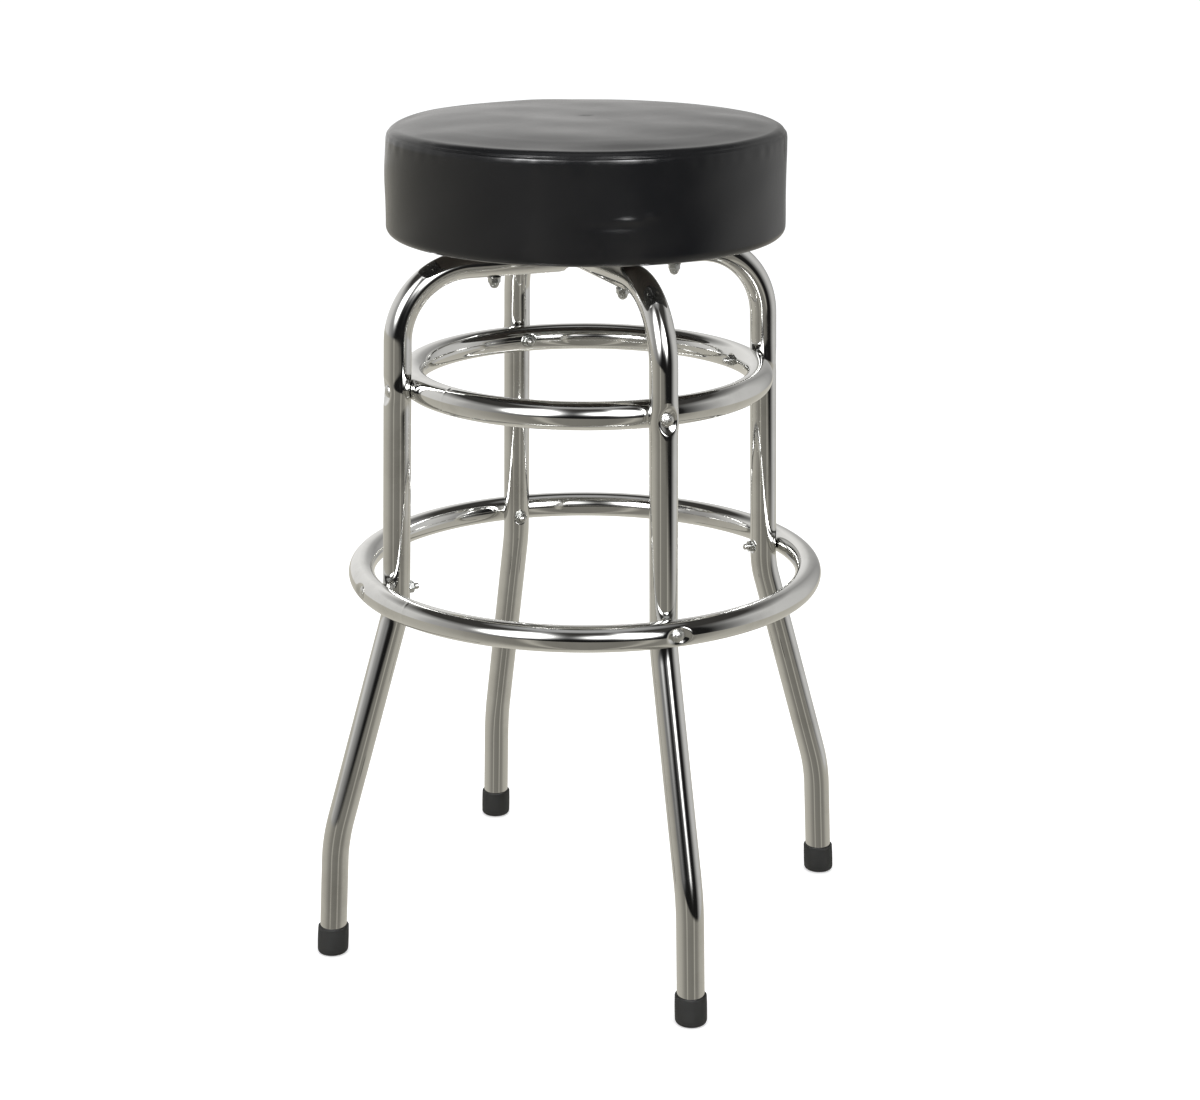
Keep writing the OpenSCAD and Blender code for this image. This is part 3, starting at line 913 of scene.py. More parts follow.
@dataclass(frozen=True)
class SeatShape:
    """The seat's outline: a crowned top, a rolled rim, a drum side and a rounded hem."""

    outer_r: float = 180.0 * MM
    low: float = 668.8 * MM
    high: float = 766.0 * MM
    crown: float = 6.0 * MM
    rim: float = 11.0 * MM
    hem: float = 8.0 * MM
    turn_in_r: float = 148.0 * MM
    skin: float = 1.2 * MM
    staples: int = 24
    seam_drop: float = 5.0 * MM

    @property
    def seam_r(self) -> float:
        """Radius where the top panel meets the side band, part of the way down the roll."""
        across = math.sqrt(self.rim ** 2 - (self.rim - self.seam_drop) ** 2)
        return self.outer_r - self.rim + across

    def outline(self, step: float, inward: float = 0.0) -> tuple[Array, Array, Array]:
        """The profile from the middle of the top to the inner edge of the turned-in hem.

        Formula: the crown falls as one less the share of the rim's radius squared, the roll and
        the hem are quarter circles, and the side is straight.

        Args:
            step: spacing of the stations.
            inward: how far inside the outer surface the profile lies.

        Returns:
            Distance along the profile, positions (radius, height) and outward normals.
        """
        side, top, low = self.outer_r - inward, self.high - inward, self.low + inward
        rim, hem = self.rim - inward, self.hem - inward
        flat = np.linspace(0.5 * MM, side - rim, 300)
        crown = np.stack([flat, top + self.crown * (1 - (flat / (side - rim)) ** 2)], -1)
        turn = np.linspace(0.0, 0.5 * math.pi, 60)[1:]
        roll = np.stack([side - rim + rim * np.sin(turn), top - rim + rim * np.cos(turn)], -1)
        fall = np.linspace(top - rim, low + hem, 200)[1:]
        wall = np.stack([np.full(fall.shape, side), fall], -1)
        under = np.stack([side - hem + hem * np.cos(turn), low + hem - hem * np.sin(turn)], -1)
        back = np.linspace(side - hem, self.turn_in_r + inward, 60)[1:]
        last = np.stack([back, np.full(back.shape, low)], -1)
        line = np.concatenate([crown, roll, wall, under, last])
        along = np.concatenate([[0.0], np.cumsum(np.linalg.norm(np.diff(line, axis=0), axis=1))])
        fine = spaced(0.0, along[-1], step)
        at = np.stack([np.interp(fine, along, line[:, k]) for k in (0, 1)], -1)
        way = np.gradient(at, fine, axis=0)
        normal = np.stack([-way[:, 1], way[:, 0]], -1)
        normal /= np.linalg.norm(normal, axis=1, keepdims=True)
        return fine, at, normal


@dataclass
class Relief:
    """How far the seat's surface lies outside its outline, by profile distance and angle."""

    along: Array
    angle: Array
    height: Array

    def at(self, along: Array, angle: Array) -> Array:
        """Bilinear lookup, periodic in the angle.

        Args:
            along: distances along the profile, one per row.
            angle: angles, one per column.

        Returns:
            Rows by columns heights.
        """
        row = np.interp(along, self.along, np.arange(len(self.along)))
        col = (angle % TURN) / TURN * len(self.angle)
        r0 = np.minimum(row.astype(int), len(self.along) - 2)
        c0 = col.astype(int) % len(self.angle)
        c1 = (c0 + 1) % len(self.angle)
        fr, fc = (row - r0)[:, None], (col - col.astype(int))[None, :]
        h = self.height
        low = h[r0][:, c0] * (1 - fc) + h[r0][:, c1] * fc
        high = h[r0 + 1][:, c0] * (1 - fc) + h[r0 + 1][:, c1] * fc
        return low * (1 - fr) + high * fr


def waves(angle: Array, counts: Array, heights: Array, phases: Array) -> Array:
    """A sum of cosines round the seat, one for each count."""
    turn = counts[:, None] * angle[None, :] + phases[:, None]
    return (heights[:, None] * np.cos(turn)).sum(axis=0)


@dataclass(frozen=True)
class Hollow:
    """A crease or dent of the cover, or a ridge if its height is positive, in millimetres."""

    degrees: float
    down: float
    half_length: float
    half_width: float
    height: float


CREASES = (
    Hollow(-101.0, 53.0, 10.0, 2.4, 0.75), Hollow(-104.0, 58.5, 19.0, 2.8, -0.55),
    Hollow(-94.0, 49.5, 5.0, 2.3, 0.55), Hollow(-129.0, 80.0, 3.5, 2.2, 0.30),
    Hollow(62.0, 50.0, 12.0, 2.4, 0.4), Hollow(155.0, 62.0, 9.0, 2.5, -0.4))
FOAM_BASE = 682.0 * MM
DENTS = (
    Hollow(-36.0, 11.0, 3.2, 8.0, -0.8), Hollow(100.0, 11.0, 3.4, 8.0, -0.5),
    Hollow(156.0, -4.0, 75.0, 22.0, -2.2))


@dataclass
class PaddedSeat:
    """A foam drum in a vinyl cover, swollen by a cloth simulation."""

    shape: SeatShape = SeatShape()
    seed: int = 7
    cells: tuple[int, int] = (120, 360)
    sides: int = 480
    inset: float = 3.0 * MM
    voxel: float = 5.0 * MM
    pressure: float = 4.0
    stiffness: float = 18.0
    bending: float = 2.5
    frames: int = 20
    seam_hold: float = 0.55
    swell: float = 2.2 * MM
    uneven: float = 0.6
    lip_height: float = 0.22 * MM
    groove_depth: float = 0.40 * MM
    wave_height: float = 0.13 * MM
    drape_height: float = 0.10 * MM
    pleat_depth: float = 0.5 * MM

    def drum(self) -> Object:
        """A closed drum a little smaller than the seat, for the simulation.

        Returns:
            The drum.
        """
        _, at, _ = self.shape.outline(6.0 * MM, self.inset)
        floor = np.linspace(at[-1, 0], 4.0 * MM, 22)[1:]
        base = np.stack([floor, np.full(floor.shape, at[-1, 1])], -1)
        at = np.concatenate([at[1:], base])
        skin = Skin().grid(turned_profile(at[:, 0], at[:, 1], 180), cap_first=True,
                           cap_last=True, flip=True)
        mesh = bpy.data.meshes.new("drum")
        mesh.from_pydata(np.concatenate(skin.points).tolist(), [], skin.faces)
        made = bpy.data.objects.new("drum", mesh)
        bpy.context.scene.collection.objects.link(made)
        return made

    def swollen(self) -> tuple[Array, Array]:
        """Remeshes the drum and lets it swell as cloth, held at its underside.

        Returns:
            Points before and after.
        """
        drum = self.drum()
        remesh = drum.modifiers.new("remesh", "REMESH")
        remesh.mode = "VOXEL"
        remesh.voxel_size = self.voxel
        drum.data = bpy.data.meshes.new_from_object(
            drum.evaluated_get(bpy.context.evaluated_depsgraph_get()))
        drum.modifiers.clear()
        before = vertices_of(drum.data)
        held = drum.vertex_groups.new(name="held")
        low = before[:, 2] < self.shape.low + self.inset + 2.0 * MM
        held.add(np.flatnonzero(low).tolist(), 1.0, "REPLACE")
        reach = np.hypot(before[:, 0], before[:, 1])
        edge = np.abs(reach - self.shape.seam_r + self.inset) < 3.5 * MM
        seam = edge & (before[:, 2] > self.shape.high - 10 * MM)
        held.add(np.flatnonzero(seam).tolist(), self.seam_hold, "REPLACE")
        cloth = drum.modifiers.new("cloth", "CLOTH")
        settings = cloth.settings
        settings.quality = 6
        settings.use_pressure = True
        settings.uniform_pressure_force = self.pressure
        settings.tension_stiffness = settings.compression_stiffness = self.stiffness
        settings.bending_stiffness = self.bending
        settings.vertex_group_mass = "held"
        settings.effector_weights.gravity = 0.0
        cloth.collision_settings.use_collision = False
        cloth.collision_settings.use_self_collision = False
        scene = bpy.context.scene
        for step in range(1, self.frames + 1):
            scene.frame_set(step)
        dg = bpy.context.evaluated_depsgraph_get()
        after = vertices_of(drum.evaluated_get(dg).to_mesh())
        scene.frame_set(1)
        bpy.data.objects.remove(drum)
        return before, after

    def relief(self) -> Relief:
        """The swelling, sorted by profile distance and angle, capped and smoothed.

        Returns:
            The relief of the whole surface, in metres.
        """
        fine, at, normal = self.shape.outline(1.0 * MM)
        rows, cols = self.cells
        along = np.linspace(0.0, fine[-1], rows)
        angle = np.arange(cols) * (TURN / cols)
        before, after = self.swollen()
        reach = np.hypot(before[:, 0], before[:, 1])
        flat = np.stack([reach, before[:, 2]], -1)
        nearest = np.array([((chunk[:, None, :] - at[None, ::4, :]) ** 2).sum(-1).argmin(1)
                            for chunk in np.array_split(flat, 400)], dtype=object)
        index = np.concatenate(nearest).astype(int) * 4
        on_it = np.hypot(*(flat - at[index]).T) < 8 * MM
        moved = after - before
        out = before[:, :2] / np.maximum(reach, 1e-6)[:, None]
        swell = (moved[:, :2] * out).sum(-1) * normal[index, 0] + moved[:, 2] * normal[index, 1]
        turn = np.arctan2(before[:, 1], before[:, 0]) % TURN
        row = np.clip((fine[index] / fine[-1] * (rows - 1)).round().astype(int), 0, rows - 1)
        col = (turn / TURN * cols).round().astype(int) % cols
        total, count = np.zeros((rows, cols)), np.zeros((rows, cols))
        np.add.at(total, (row[on_it], col[on_it]), swell[on_it])
        np.add.at(count, (row[on_it], col[on_it]), 1.0)
        height = softened(total, 1.6, 3.0) / np.maximum(softened(count, 1.6, 3.0), 1e-4)
        log.info("swelling from %.2f to %.2f mm", height.min() / MM, height.max() / MM)
        mean = height.mean(axis=1, keepdims=True)
        peak = max(float(np.abs(mean).max()), 1e-6)
        return Relief(along, angle, mean * (self.swell / peak) + self.uneven * np.clip(
            height - mean, -0.6 * MM, 0.6 * MM))

    def surface(self, along: Array, angle: Array, relief: Relief, inward: float,
                wrinkled: bool) -> Array:
        """Points of the seat at stations along the profile and angles round it.

        Formula: outline plus its normal times the relief and, for the cover, the seam's groove
        and puckers, broad undulations of the top, and the pleats of the turned-in hem.

        Args:
            along: distances along the profile.
            angle: angles round the seat.
            relief: the swelling.
            inward: how far inside the outer surface.
            wrinkled: whether the cover's own wrinkles are added.

        Returns:
            Rows by columns by 3 points.
        """
        fine, at, normal = self.shape.outline(0.5 * MM)
        r, z = (np.interp(along, fine, at[:, k]) for k in (0, 1))
        nr, nz = (np.interp(along, fine, normal[:, k]) for k in (0, 1))
        seam, _, _ = self.landmarks()
        rise = relief.at(along, angle) + self.hollows((along - seam)[:, None], angle, DENTS)
        if wrinkled:
            rise = rise + self.wrinkles(along, angle, fine, at)
        rise = rise - inward
        radius = r[:, None] + nr[:, None] * rise
        height = z[:, None] + nz[:, None] * rise
        return np.stack([radius * np.cos(angle), radius * np.sin(angle), height], -1)

    def landmarks(self) -> tuple[float, float, float]:
        """Profile distances of the seam, the start of the hem's curve and its end."""
        fine, at, _ = self.shape.outline(0.5 * MM)
        top = at[:, 1] > self.shape.high - self.shape.rim
        seam = float(np.interp(self.shape.seam_r, at[top, 0], fine[top]))
        low = self.shape.low + self.shape.hem
        wall = np.flatnonzero((at[:, 1] <= low) & (at[:, 0] > self.shape.outer_r - 1e-5))
        hem = float(fine[wall[0]]) if len(wall) else float(fine[-90])
        return seam, hem, hem + 0.5 * math.pi * self.shape.hem

    def wrinkles(self, along: Array, angle: Array, fine: Array, at: Array) -> Array:
        """Seam groove, puckers, undulations, creases and pleats.

        Args:
            along: distances along the profile.
            angle: angles round the seat.
            fine: the profile's own stations.
            at: the profile's positions.

        Returns:
            Rows by columns heights.
        """
        rng = np.random.default_rng(self.seed)
        seam, hem, turned_in = self.landmarks()
        off = (along - seam)[:, None]
        lip = self.lip_height * bell(off - 2.2 * MM, 1.2 * MM)
        groove = lip - self.groove_depth * bell(off, 1.0 * MM) * (1 + 0.25 * waves(
            angle, np.array([3, 5, 9]), np.array([0.5, 0.4, 0.4]), rng.uniform(0, TURN, 3)))
        counts = np.array([41, 47, 53, 59, 67, 76])
        pucker = waves(angle, counts, rng.uniform(0.10, 0.2, 6), rng.uniform(0, TURN, 6)) * MM
        shift = waves(angle, counts - 9, rng.uniform(0.10, 0.2, 6), rng.uniform(0, TURN, 6)) * MM
        roll = np.where(off > 0, bell(off - 7 * MM, 6 * MM), bell(off + 2 * MM, 4 * MM))
        beside = roll * np.where(off > 0, 0.35 * pucker, 0.10 * shift)
        x = np.interp(along, fine, at[:, 0])[:, None] * np.cos(angle)
        y = np.interp(along, fine, at[:, 0])[:, None] * np.sin(angle)
        broad = np.zeros(x.shape)
        for _ in range(14):
            way, length = rng.uniform(0, TURN), rng.uniform(55, 150) * MM
            broad += rng.uniform(0.5, 1.0) * np.cos(
                TURN * (x * math.cos(way) + y * math.sin(way)) / length + rng.uniform(0, TURN))
        broad *= self.wave_height * smooth_step(-off, 3 * MM, 30 * MM)
        side = smooth_step(off, 14 * MM, 30 * MM) * (1 - smooth_step(along[:, None], hem - 4 * MM,
                                                                    hem + 8 * MM))
        drape = np.zeros(x.shape)
        for _ in range(12):
            count, tall = rng.integers(3, 15), rng.uniform(40, 140) * MM
            drape += rng.uniform(0.4, 1.0) * np.cos(
                count * angle + TURN * off / tall + rng.uniform(0, TURN))
        drape *= self.drape_height * side
        crease = self.hollows(off, angle, CREASES)
        share = smooth_step(along[:, None], turned_in, turned_in + 16 * MM)
        at_staple = np.sin(0.5 * self.shape.staples * angle) ** 2
        pleat = (1.0 + 0.4 * np.cos(7 * angle)) * at_staple * (
            0.5 + 0.5 * np.cos(3 * self.shape.staples * angle + 1.3 * np.sin(5 * angle)))
        return groove + beside + broad + drape + crease - self.pleat_depth * share * pleat

    def hollows(self, off: Array, angle: Array, places: tuple["Hollow", ...]) -> Array:
        """Creases or dents, each a long narrow bell.

        Args:
            off: distance below the seam, by row.
            angle: angles round the seat.
            places: the creases or dents.

        Returns:
            Rows by columns heights.
        """
        total = np.zeros((len(off), len(angle)))
        for p in places:
            across = (angle - math.radians(p.degrees) + math.pi) % TURN - math.pi
            total += p.height * MM * bell(across[None, :] * self.shape.outer_r,
                                          p.half_length * MM) * bell(
                off - p.down * MM, p.half_width * MM)
        return total

    def build(self) -> None:
        """Makes the foam, the top panel and the side band."""
        relief = self.relief()
        seam, hem, turned_in = self.landmarks()
        fine, _, _ = self.shape.outline(0.5 * MM)
        angle = np.arange(self.sides) * (TURN / self.sides)
        flat = np.concatenate([spaced(1.0 * MM, seam - 12 * MM, 3.2 * MM),
                               spaced(seam - 12 * MM, seam + 0.6 * MM, 0.8 * MM)[1:]])
        band = np.concatenate([spaced(seam - 0.6 * MM, seam + 22 * MM, 0.9 * MM),
                               spaced(seam + 22 * MM, hem - 2 * MM, 1.4 * MM)[1:],
                               spaced(hem - 2 * MM, turned_in + 3 * MM, 1.2 * MM)[1:],
                               spaced(turned_in + 3 * MM, fine[-1], 1.8 * MM)[1:]])
        for name, stations, node in (("cover_top_panel", flat, "cover_top"),
                                     ("cover_side_band", band, "cover_band")):
            skin = Skin().grid(self.surface(stations, angle, relief, 0.0, True),
                               cap_first=name == "cover_top_panel", flip=True)
            piece = skin.piece(name, Body.SEAT, Slot.VINYL, (node,))
            wall = piece.modifiers.new("wall", "SOLIDIFY")
            wall.thickness, wall.offset = self.shape.skin, -1.0
        inner = spaced(1.0 * MM, hem - 2 * MM, 4.0 * MM)
        rings = self.surface(inner, angle[::3], relief, self.shape.skin + 0.4 * MM, False)
        floor = rings[-1:].copy()
        floor[..., 2] = FOAM_BASE
        rings = rings[rings[..., 2].min(axis=1) > FOAM_BASE + 2 * MM]
        rings = np.concatenate([rings, floor])
        skin = Skin().grid(rings, cap_first=True, cap_last=True, flip=True)
        skin.piece("seat_foam_block", Body.SEAT, Slot.FOAM,
                                             ("seat_foam",))


def vertices_of(mesh: bpy.types.Mesh) -> Array:
    """A mesh's points as an array."""
    co = np.empty(len(mesh.vertices) * 3)
    mesh.vertices.foreach_get("co", co)
    return co.reshape(-1, 3)


def softened(values: Array, down: float, across: float) -> Array:
    """A Gaussian blur of a table whose columns wrap round.

    Formula: each row of a weight matrix holds e to the minus half the squared distance over
    the width squared, divided by the row's sum.

    Args:
        values: the table.
        down: width of the blur between rows, in rows.
        across: width between columns, in columns.

    Returns:
        The blurred table.
    """
    rows, cols = values.shape
    r = np.arange(rows)
    apart = r[:, None] - r[None, :]
    c = np.arange(cols)
    around = (c[:, None] - c[None, :] + cols // 2) % cols - cols // 2
    first = np.exp(-0.5 * (apart / down) ** 2)
    second = np.exp(-0.5 * (around / across) ** 2)
    return (first / first.sum(1, keepdims=True)) @ values @ (
        second / second.sum(1, keepdims=True))


# -------------------------------------------------------------- materials


@dataclass(frozen=True)
class MetalFinish:
    """A metal: its colour, how rough it is where clean and where hazed, and its fine bumps."""

    colour: tuple[float, float, float]
    rough: float
    haze: float
    bump: float
    scale: float
    tarnish: tuple[float, float, float] = (0.35, 0.33, 0.30)


FINISHES = {
    Slot.CHROME: MetalFinish((0.80, 0.80, 0.785), 0.045, 0.07, 0.010, 60.0),
    Slot.DOME_HEAD: MetalFinish((0.76, 0.76, 0.74), 0.33, 0.15, 0.03, 260.0),
    Slot.FASTENER: MetalFinish((0.60, 0.61, 0.60), 0.22, 0.16, 0.05, 320.0),
    Slot.PLATE: MetalFinish((0.52, 0.53, 0.53), 0.30, 0.18, 0.06, 180.0),
    Slot.BALL: MetalFinish((0.70, 0.70, 0.70), 0.08, 0.05, 0.0, 200.0),
    Slot.EYELET: MetalFinish((0.72, 0.54, 0.26), 0.24, 0.18, 0.04, 240.0),
}


@dataclass
class Graph:
    """Short calls for building a node tree."""

    tree: bpy.types.NodeTree

    def add(self, kind: str, inputs: dict | None = None, **values) -> bpy.types.Node:
        """Adds a node.

        Args:
            kind: the node's type name.
            inputs: socket names to constants or to output sockets.
            values: the node's own properties.

        Returns:
            The node.
        """
        node = self.tree.nodes.new(kind)
        for key, value in values.items():
            setattr(node, key, value)
        for key, value in (inputs or {}).items():
            self.put(node.inputs[key], value)
        return node

    def put(self, socket: bpy.types.NodeSocket, value) -> None:
        """Links a socket to an output, or sets its constant."""
        if isinstance(value, bpy.types.NodeSocket):
            self.tree.links.new(value, socket)
        else:
            socket.default_value = value

    def noise(self, vector, scale: float, detail: float = 3.0, rough: float = 0.55):
        """A noise texture's factor."""
        node = self.add("ShaderNodeTexNoise", {"Scale": scale, "Detail": detail,
                                               "Roughness": rough, "Vector": vector})
        return node.outputs["Fac"]

    def ramp(self, value, low: float, high: float, to_low: float = 0.0, to_high: float = 1.0):
        """A clamped linear map of a value."""
        node = self.add("ShaderNodeMapRange", {0: value, 1: low, 2: high, 3: to_low, 4: to_high})
        return node.outputs[0]

    def maths(self, operation: str, a, b=0.0):
        """A math node's result."""
        return self.add("ShaderNodeMath", {0: a, 1: b}, operation=operation).outputs[0]

    def mix(self, share, first, second):
        """A mix of two colours."""
        node = self.add("ShaderNodeMix", data_type="RGBA")
        self.put(node.inputs["Factor"], share)
        for socket, value in ((node.inputs[6], first), (node.inputs[7], second)):
            self.put(socket, (*value, 1.0) if isinstance(value, tuple) else value)
        return node.outputs[2]


def new_group(name: str, inputs: dict[str, str], outputs: dict[str, str]) -> Graph:
    """A shader node group with named sockets.

    Args:
        name: the group's name.
        inputs: socket names to socket types.
        outputs: socket names to socket types.

    Returns:
        The group's graph, with its input and output nodes made.
    """
    tree = bpy.data.node_groups.new(name, "ShaderNodeTree")
    for in_out, sockets in (("INPUT", inputs), ("OUTPUT", outputs)):
        for label, kind in sockets.items():
            tree.interface.new_socket(label, in_out=in_out, socket_type=kind)
    graph = Graph(tree)
    graph.add("NodeGroupInput")
    graph.add("NodeGroupOutput")
    return graph


def handling_marks() -> bpy.types.NodeTree:
    """Smudges and fine streaks as two masks.

    Formula: smudges are broad noise raised above a threshold; streaks are noise stretched
    twelve times along the height, raised above a threshold, times broad noise.

    Returns:
        The group.
    """
    g = new_group("handling_marks", {"Vector": "NodeSocketVector", "Scale": "NodeSocketFloat"},
                  {"Smudges": "NodeSocketFloat", "Streaks": "NodeSocketFloat",
                   "Relief": "NodeSocketFloat"})
    start, end = g.tree.nodes[0].outputs, g.tree.nodes[1].inputs
    broad = g.noise(start["Vector"], 22.0, 5.0, 0.6)
    g.put(end["Smudges"], g.ramp(broad, 0.48, 0.74))
    stretch = g.add("ShaderNodeMapping", {"Vector": start["Vector"], "Scale": (1.0, 1.0, 0.08)})
    lines = g.noise(stretch.outputs[0], 900.0, 2.0)
    g.put(end["Streaks"], g.maths("MULTIPLY", g.ramp(lines, 0.60, 0.78),
                                  g.ramp(broad, 0.45, 0.65)))
    fine = g.add("ShaderNodeTexNoise", {"Vector": start["Vector"], "Scale": start["Scale"],
                                        "Detail": 4.0})
    g.put(end["Relief"], fine.outputs["Fac"])
    return g.tree


def moulded_grain() -> bpy.types.NodeTree:
    """The leather-like or matt grain of vinyl and rubber.

    Formula: the distance to the nearest cell border of a warped cell pattern, smoothed to a
    plateau, plus a share of finer noise.

    Returns:
        The group.
    """
    g = new_group("moulded_grain", {"Vector": "NodeSocketVector", "Scale": "NodeSocketFloat"},
                  {"Grain": "NodeSocketFloat", "Patches": "NodeSocketFloat"})
    start, end = g.tree.nodes[0].outputs, g.tree.nodes[1].inputs
    warp = g.add("ShaderNodeTexNoise", {"Vector": start["Vector"], "Scale": 700.0, "Detail": 2.0})
    push = g.add("ShaderNodeVectorMath", {0: warp.outputs["Color"], 1: (0.0005,) * 3},
                 operation="MULTIPLY")
    where = g.add("ShaderNodeVectorMath", {0: start["Vector"], 1: push.outputs[0]},
                  operation="ADD")
    cells = g.add("ShaderNodeTexVoronoi", {"Vector": where.outputs[0], "Scale": start["Scale"]},
                  feature="DISTANCE_TO_EDGE")
    plateau = g.ramp(cells.outputs["Distance"], 0.0, 0.16)
    fine = g.noise(where.outputs[0], 2600.0, 2.0)
    g.put(end["Grain"], g.maths("ADD", plateau, g.maths("MULTIPLY", fine, 0.35)))
    g.put(end["Patches"], g.noise(start["Vector"], 16.0, 4.0, 0.6))
    return g.tree


@dataclass
class Materials:
    """All procedural materials, one for each slot."""

    marks: bpy.types.NodeTree
    grain: bpy.types.NodeTree
    made: dict[str, bpy.types.Material] = field(default_factory=dict)

    def begin(self, slot: Slot) -> tuple[Graph, bpy.types.Node, bpy.types.NodeSocket]:
        """A new material with its Principled node and Object coordinates.

        Args:
            slot: the slot it is for.

        Returns:
            The graph, the Principled node and the coordinates.
        """
        material = bpy.data.materials.new(slot.value)
        material.use_nodes = True
        g = Graph(material.node_tree)
        shader = g.tree.nodes["Principled BSDF"]
        where = g.add("ShaderNodeTexCoord").outputs["Object"]
        self.made[slot.value] = material
        return g, shader, where

    def metal(self, slot: Slot, finish: MetalFinish) -> None:
        """A plated or bare metal.

        Args:
            slot: the slot it is for.
            finish: its values.
        """
        g, shader, where = self.begin(slot)
        marks = g.add("ShaderNodeGroup", node_tree=self.marks)
        g.put(marks.inputs["Vector"], where)
        marks.inputs["Scale"].default_value = finish.scale
        smudges, streaks = marks.outputs["Smudges"], marks.outputs["Streaks"]
        shader.inputs["Metallic"].default_value = 1.0
        g.put(shader.inputs["Base Color"],
              g.mix(g.maths("MULTIPLY", smudges, 0.22), finish.colour, finish.tarnish))
        worn = g.maths("ADD", g.maths("MULTIPLY", smudges, finish.haze),
                       g.maths("MULTIPLY", streaks, 0.5 * finish.haze))
        g.put(shader.inputs["Roughness"], g.maths("ADD", worn, finish.rough))
        if finish.bump:
            bump = g.add("ShaderNodeBump", {"Strength": finish.bump, "Distance": 0.001,
                                            "Height": marks.outputs["Relief"]})
            g.put(shader.inputs["Normal"], bump.outputs["Normal"])

    def skin(self, slot: Slot, dark: tuple, light: tuple, rough: tuple[float, float],
             scale: float, bump: float) -> None:
        """Vinyl or rubber.

        Args:
            slot: the slot it is for.
            dark: the colour of most of it.
            light: the colour of its dusty patches.
            rough: lowest and highest roughness.
            scale: the grain's scale.
            bump: how strong the grain is.
        """
        g, shader, where = self.begin(slot)
        grain = g.add("ShaderNodeGroup", node_tree=self.grain)
        g.put(grain.inputs["Vector"], where)
        grain.inputs["Scale"].default_value = scale
        patches = g.ramp(grain.outputs["Patches"], 0.42, 0.70)
        g.put(shader.inputs["Base Color"], g.mix(patches, dark, light))
        g.put(shader.inputs["Roughness"], g.ramp(grain.outputs["Patches"], 0.3, 0.7, *rough))
        relief = g.add("ShaderNodeBump", {"Strength": bump, "Distance": 0.0002,
                                          "Height": grain.outputs["Grain"]})
        g.put(shader.inputs["Normal"], relief.outputs["Normal"])
        shader.inputs["Specular IOR Level"].default_value = 0.5

    def plywood(self) -> None:
        """Dark stained plywood: long grain on the faces, thin plies on the edge."""
        g, shader, where = self.begin(Slot.PLYWOOD)
        long = g.add("ShaderNodeMapping", {"Vector": where, "Scale": (1.0, 12.0, 1.0)})
        grain = g.noise(long.outputs[0], 30.0, 6.0, 0.6)
        plies = g.add("ShaderNodeTexWave", {"Vector": where, "Scale": 115.0, "Distortion": 1.0},
                      bands_direction="Z")
        upright = g.add("ShaderNodeSeparateXYZ", {"Vector": g.add(
            "ShaderNodeNewGeometry").outputs["Normal"]}).outputs["Z"]
        edge = g.ramp(g.maths("ABSOLUTE", upright), 0.5, 0.2)
        face = g.mix(g.ramp(grain, 0.35, 0.7), (0.040, 0.030, 0.022), (0.018, 0.014, 0.011))
        side = g.mix(plies.outputs["Fac"], (0.52, 0.36, 0.20), (0.26, 0.15, 0.08))
        g.put(shader.inputs["Base Color"], g.mix(edge, face, side))
        shader.inputs["Roughness"].default_value = 0.7
        bump = g.add("ShaderNodeBump", {"Strength": 0.15, "Distance": 0.0004, "Height": grain})
        g.put(shader.inputs["Normal"], bump.outputs["Normal"])

    def foam(self) -> None:
        """Open cell foam."""
        g, shader, where = self.begin(Slot.FOAM)
        cells = g.add("ShaderNodeTexVoronoi", {"Vector": where, "Scale": 900.0})
        g.put(shader.inputs["Base Color"], g.mix(
            cells.outputs["Distance"], (0.55, 0.47, 0.28), (0.74, 0.68, 0.48)))
        shader.inputs["Roughness"].default_value = 0.95
        bump = g.add("ShaderNodeBump", {"Strength": 0.6, "Distance": 0.0008,
                                        "Height": cells.outputs["Distance"]})
        g.put(shader.inputs["Normal"], bump.outputs["Normal"])

    def build(self) -> None:
        """Makes every material."""
        for slot, finish in FINISHES.items():
            self.metal(slot, finish)
        self.skin(Slot.VINYL, dark=(0.0086, 0.0089, 0.0099), light=(0.0112, 0.0114, 0.0120),
                  rough=(0.18, 0.25), scale=1500.0, bump=0.025)
        self.skin(Slot.RUBBER, dark=(0.0135, 0.0137, 0.0133), light=(0.0215, 0.0212, 0.0198),
                  rough=(0.55, 0.75), scale=1900.0, bump=0.30)
        self.plywood()
        self.foam()

    def dress(self) -> None:
        """Gives every shown piece and every shown node its slot's material."""
        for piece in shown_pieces():
            material = self.made[piece_slot(piece)]
            piece.data.materials.clear()
            piece.data.materials.append(material)


def piece_slot(piece: Object) -> str:
    """The slot of a piece, or of a carried-over node by its name."""
    if "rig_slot" in piece:
        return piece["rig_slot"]
    return NODE_SLOTS[piece.name].value


NODE_SLOTS = {
    "swivel_lower_plate": Slot.PLATE,
    "swivel_upper_plate": Slot.PLATE,
    "swivel_balls": Slot.BALL,
    "swivel_eyelet": Slot.EYELET,
    "seat_board": Slot.PLYWOOD,
    "tee_nuts": Slot.FASTENER,
    "foot_discs": Slot.PLATE,
    "cover_staples": Slot.FASTENER,
}


# -------------------------------------------------------------------- set


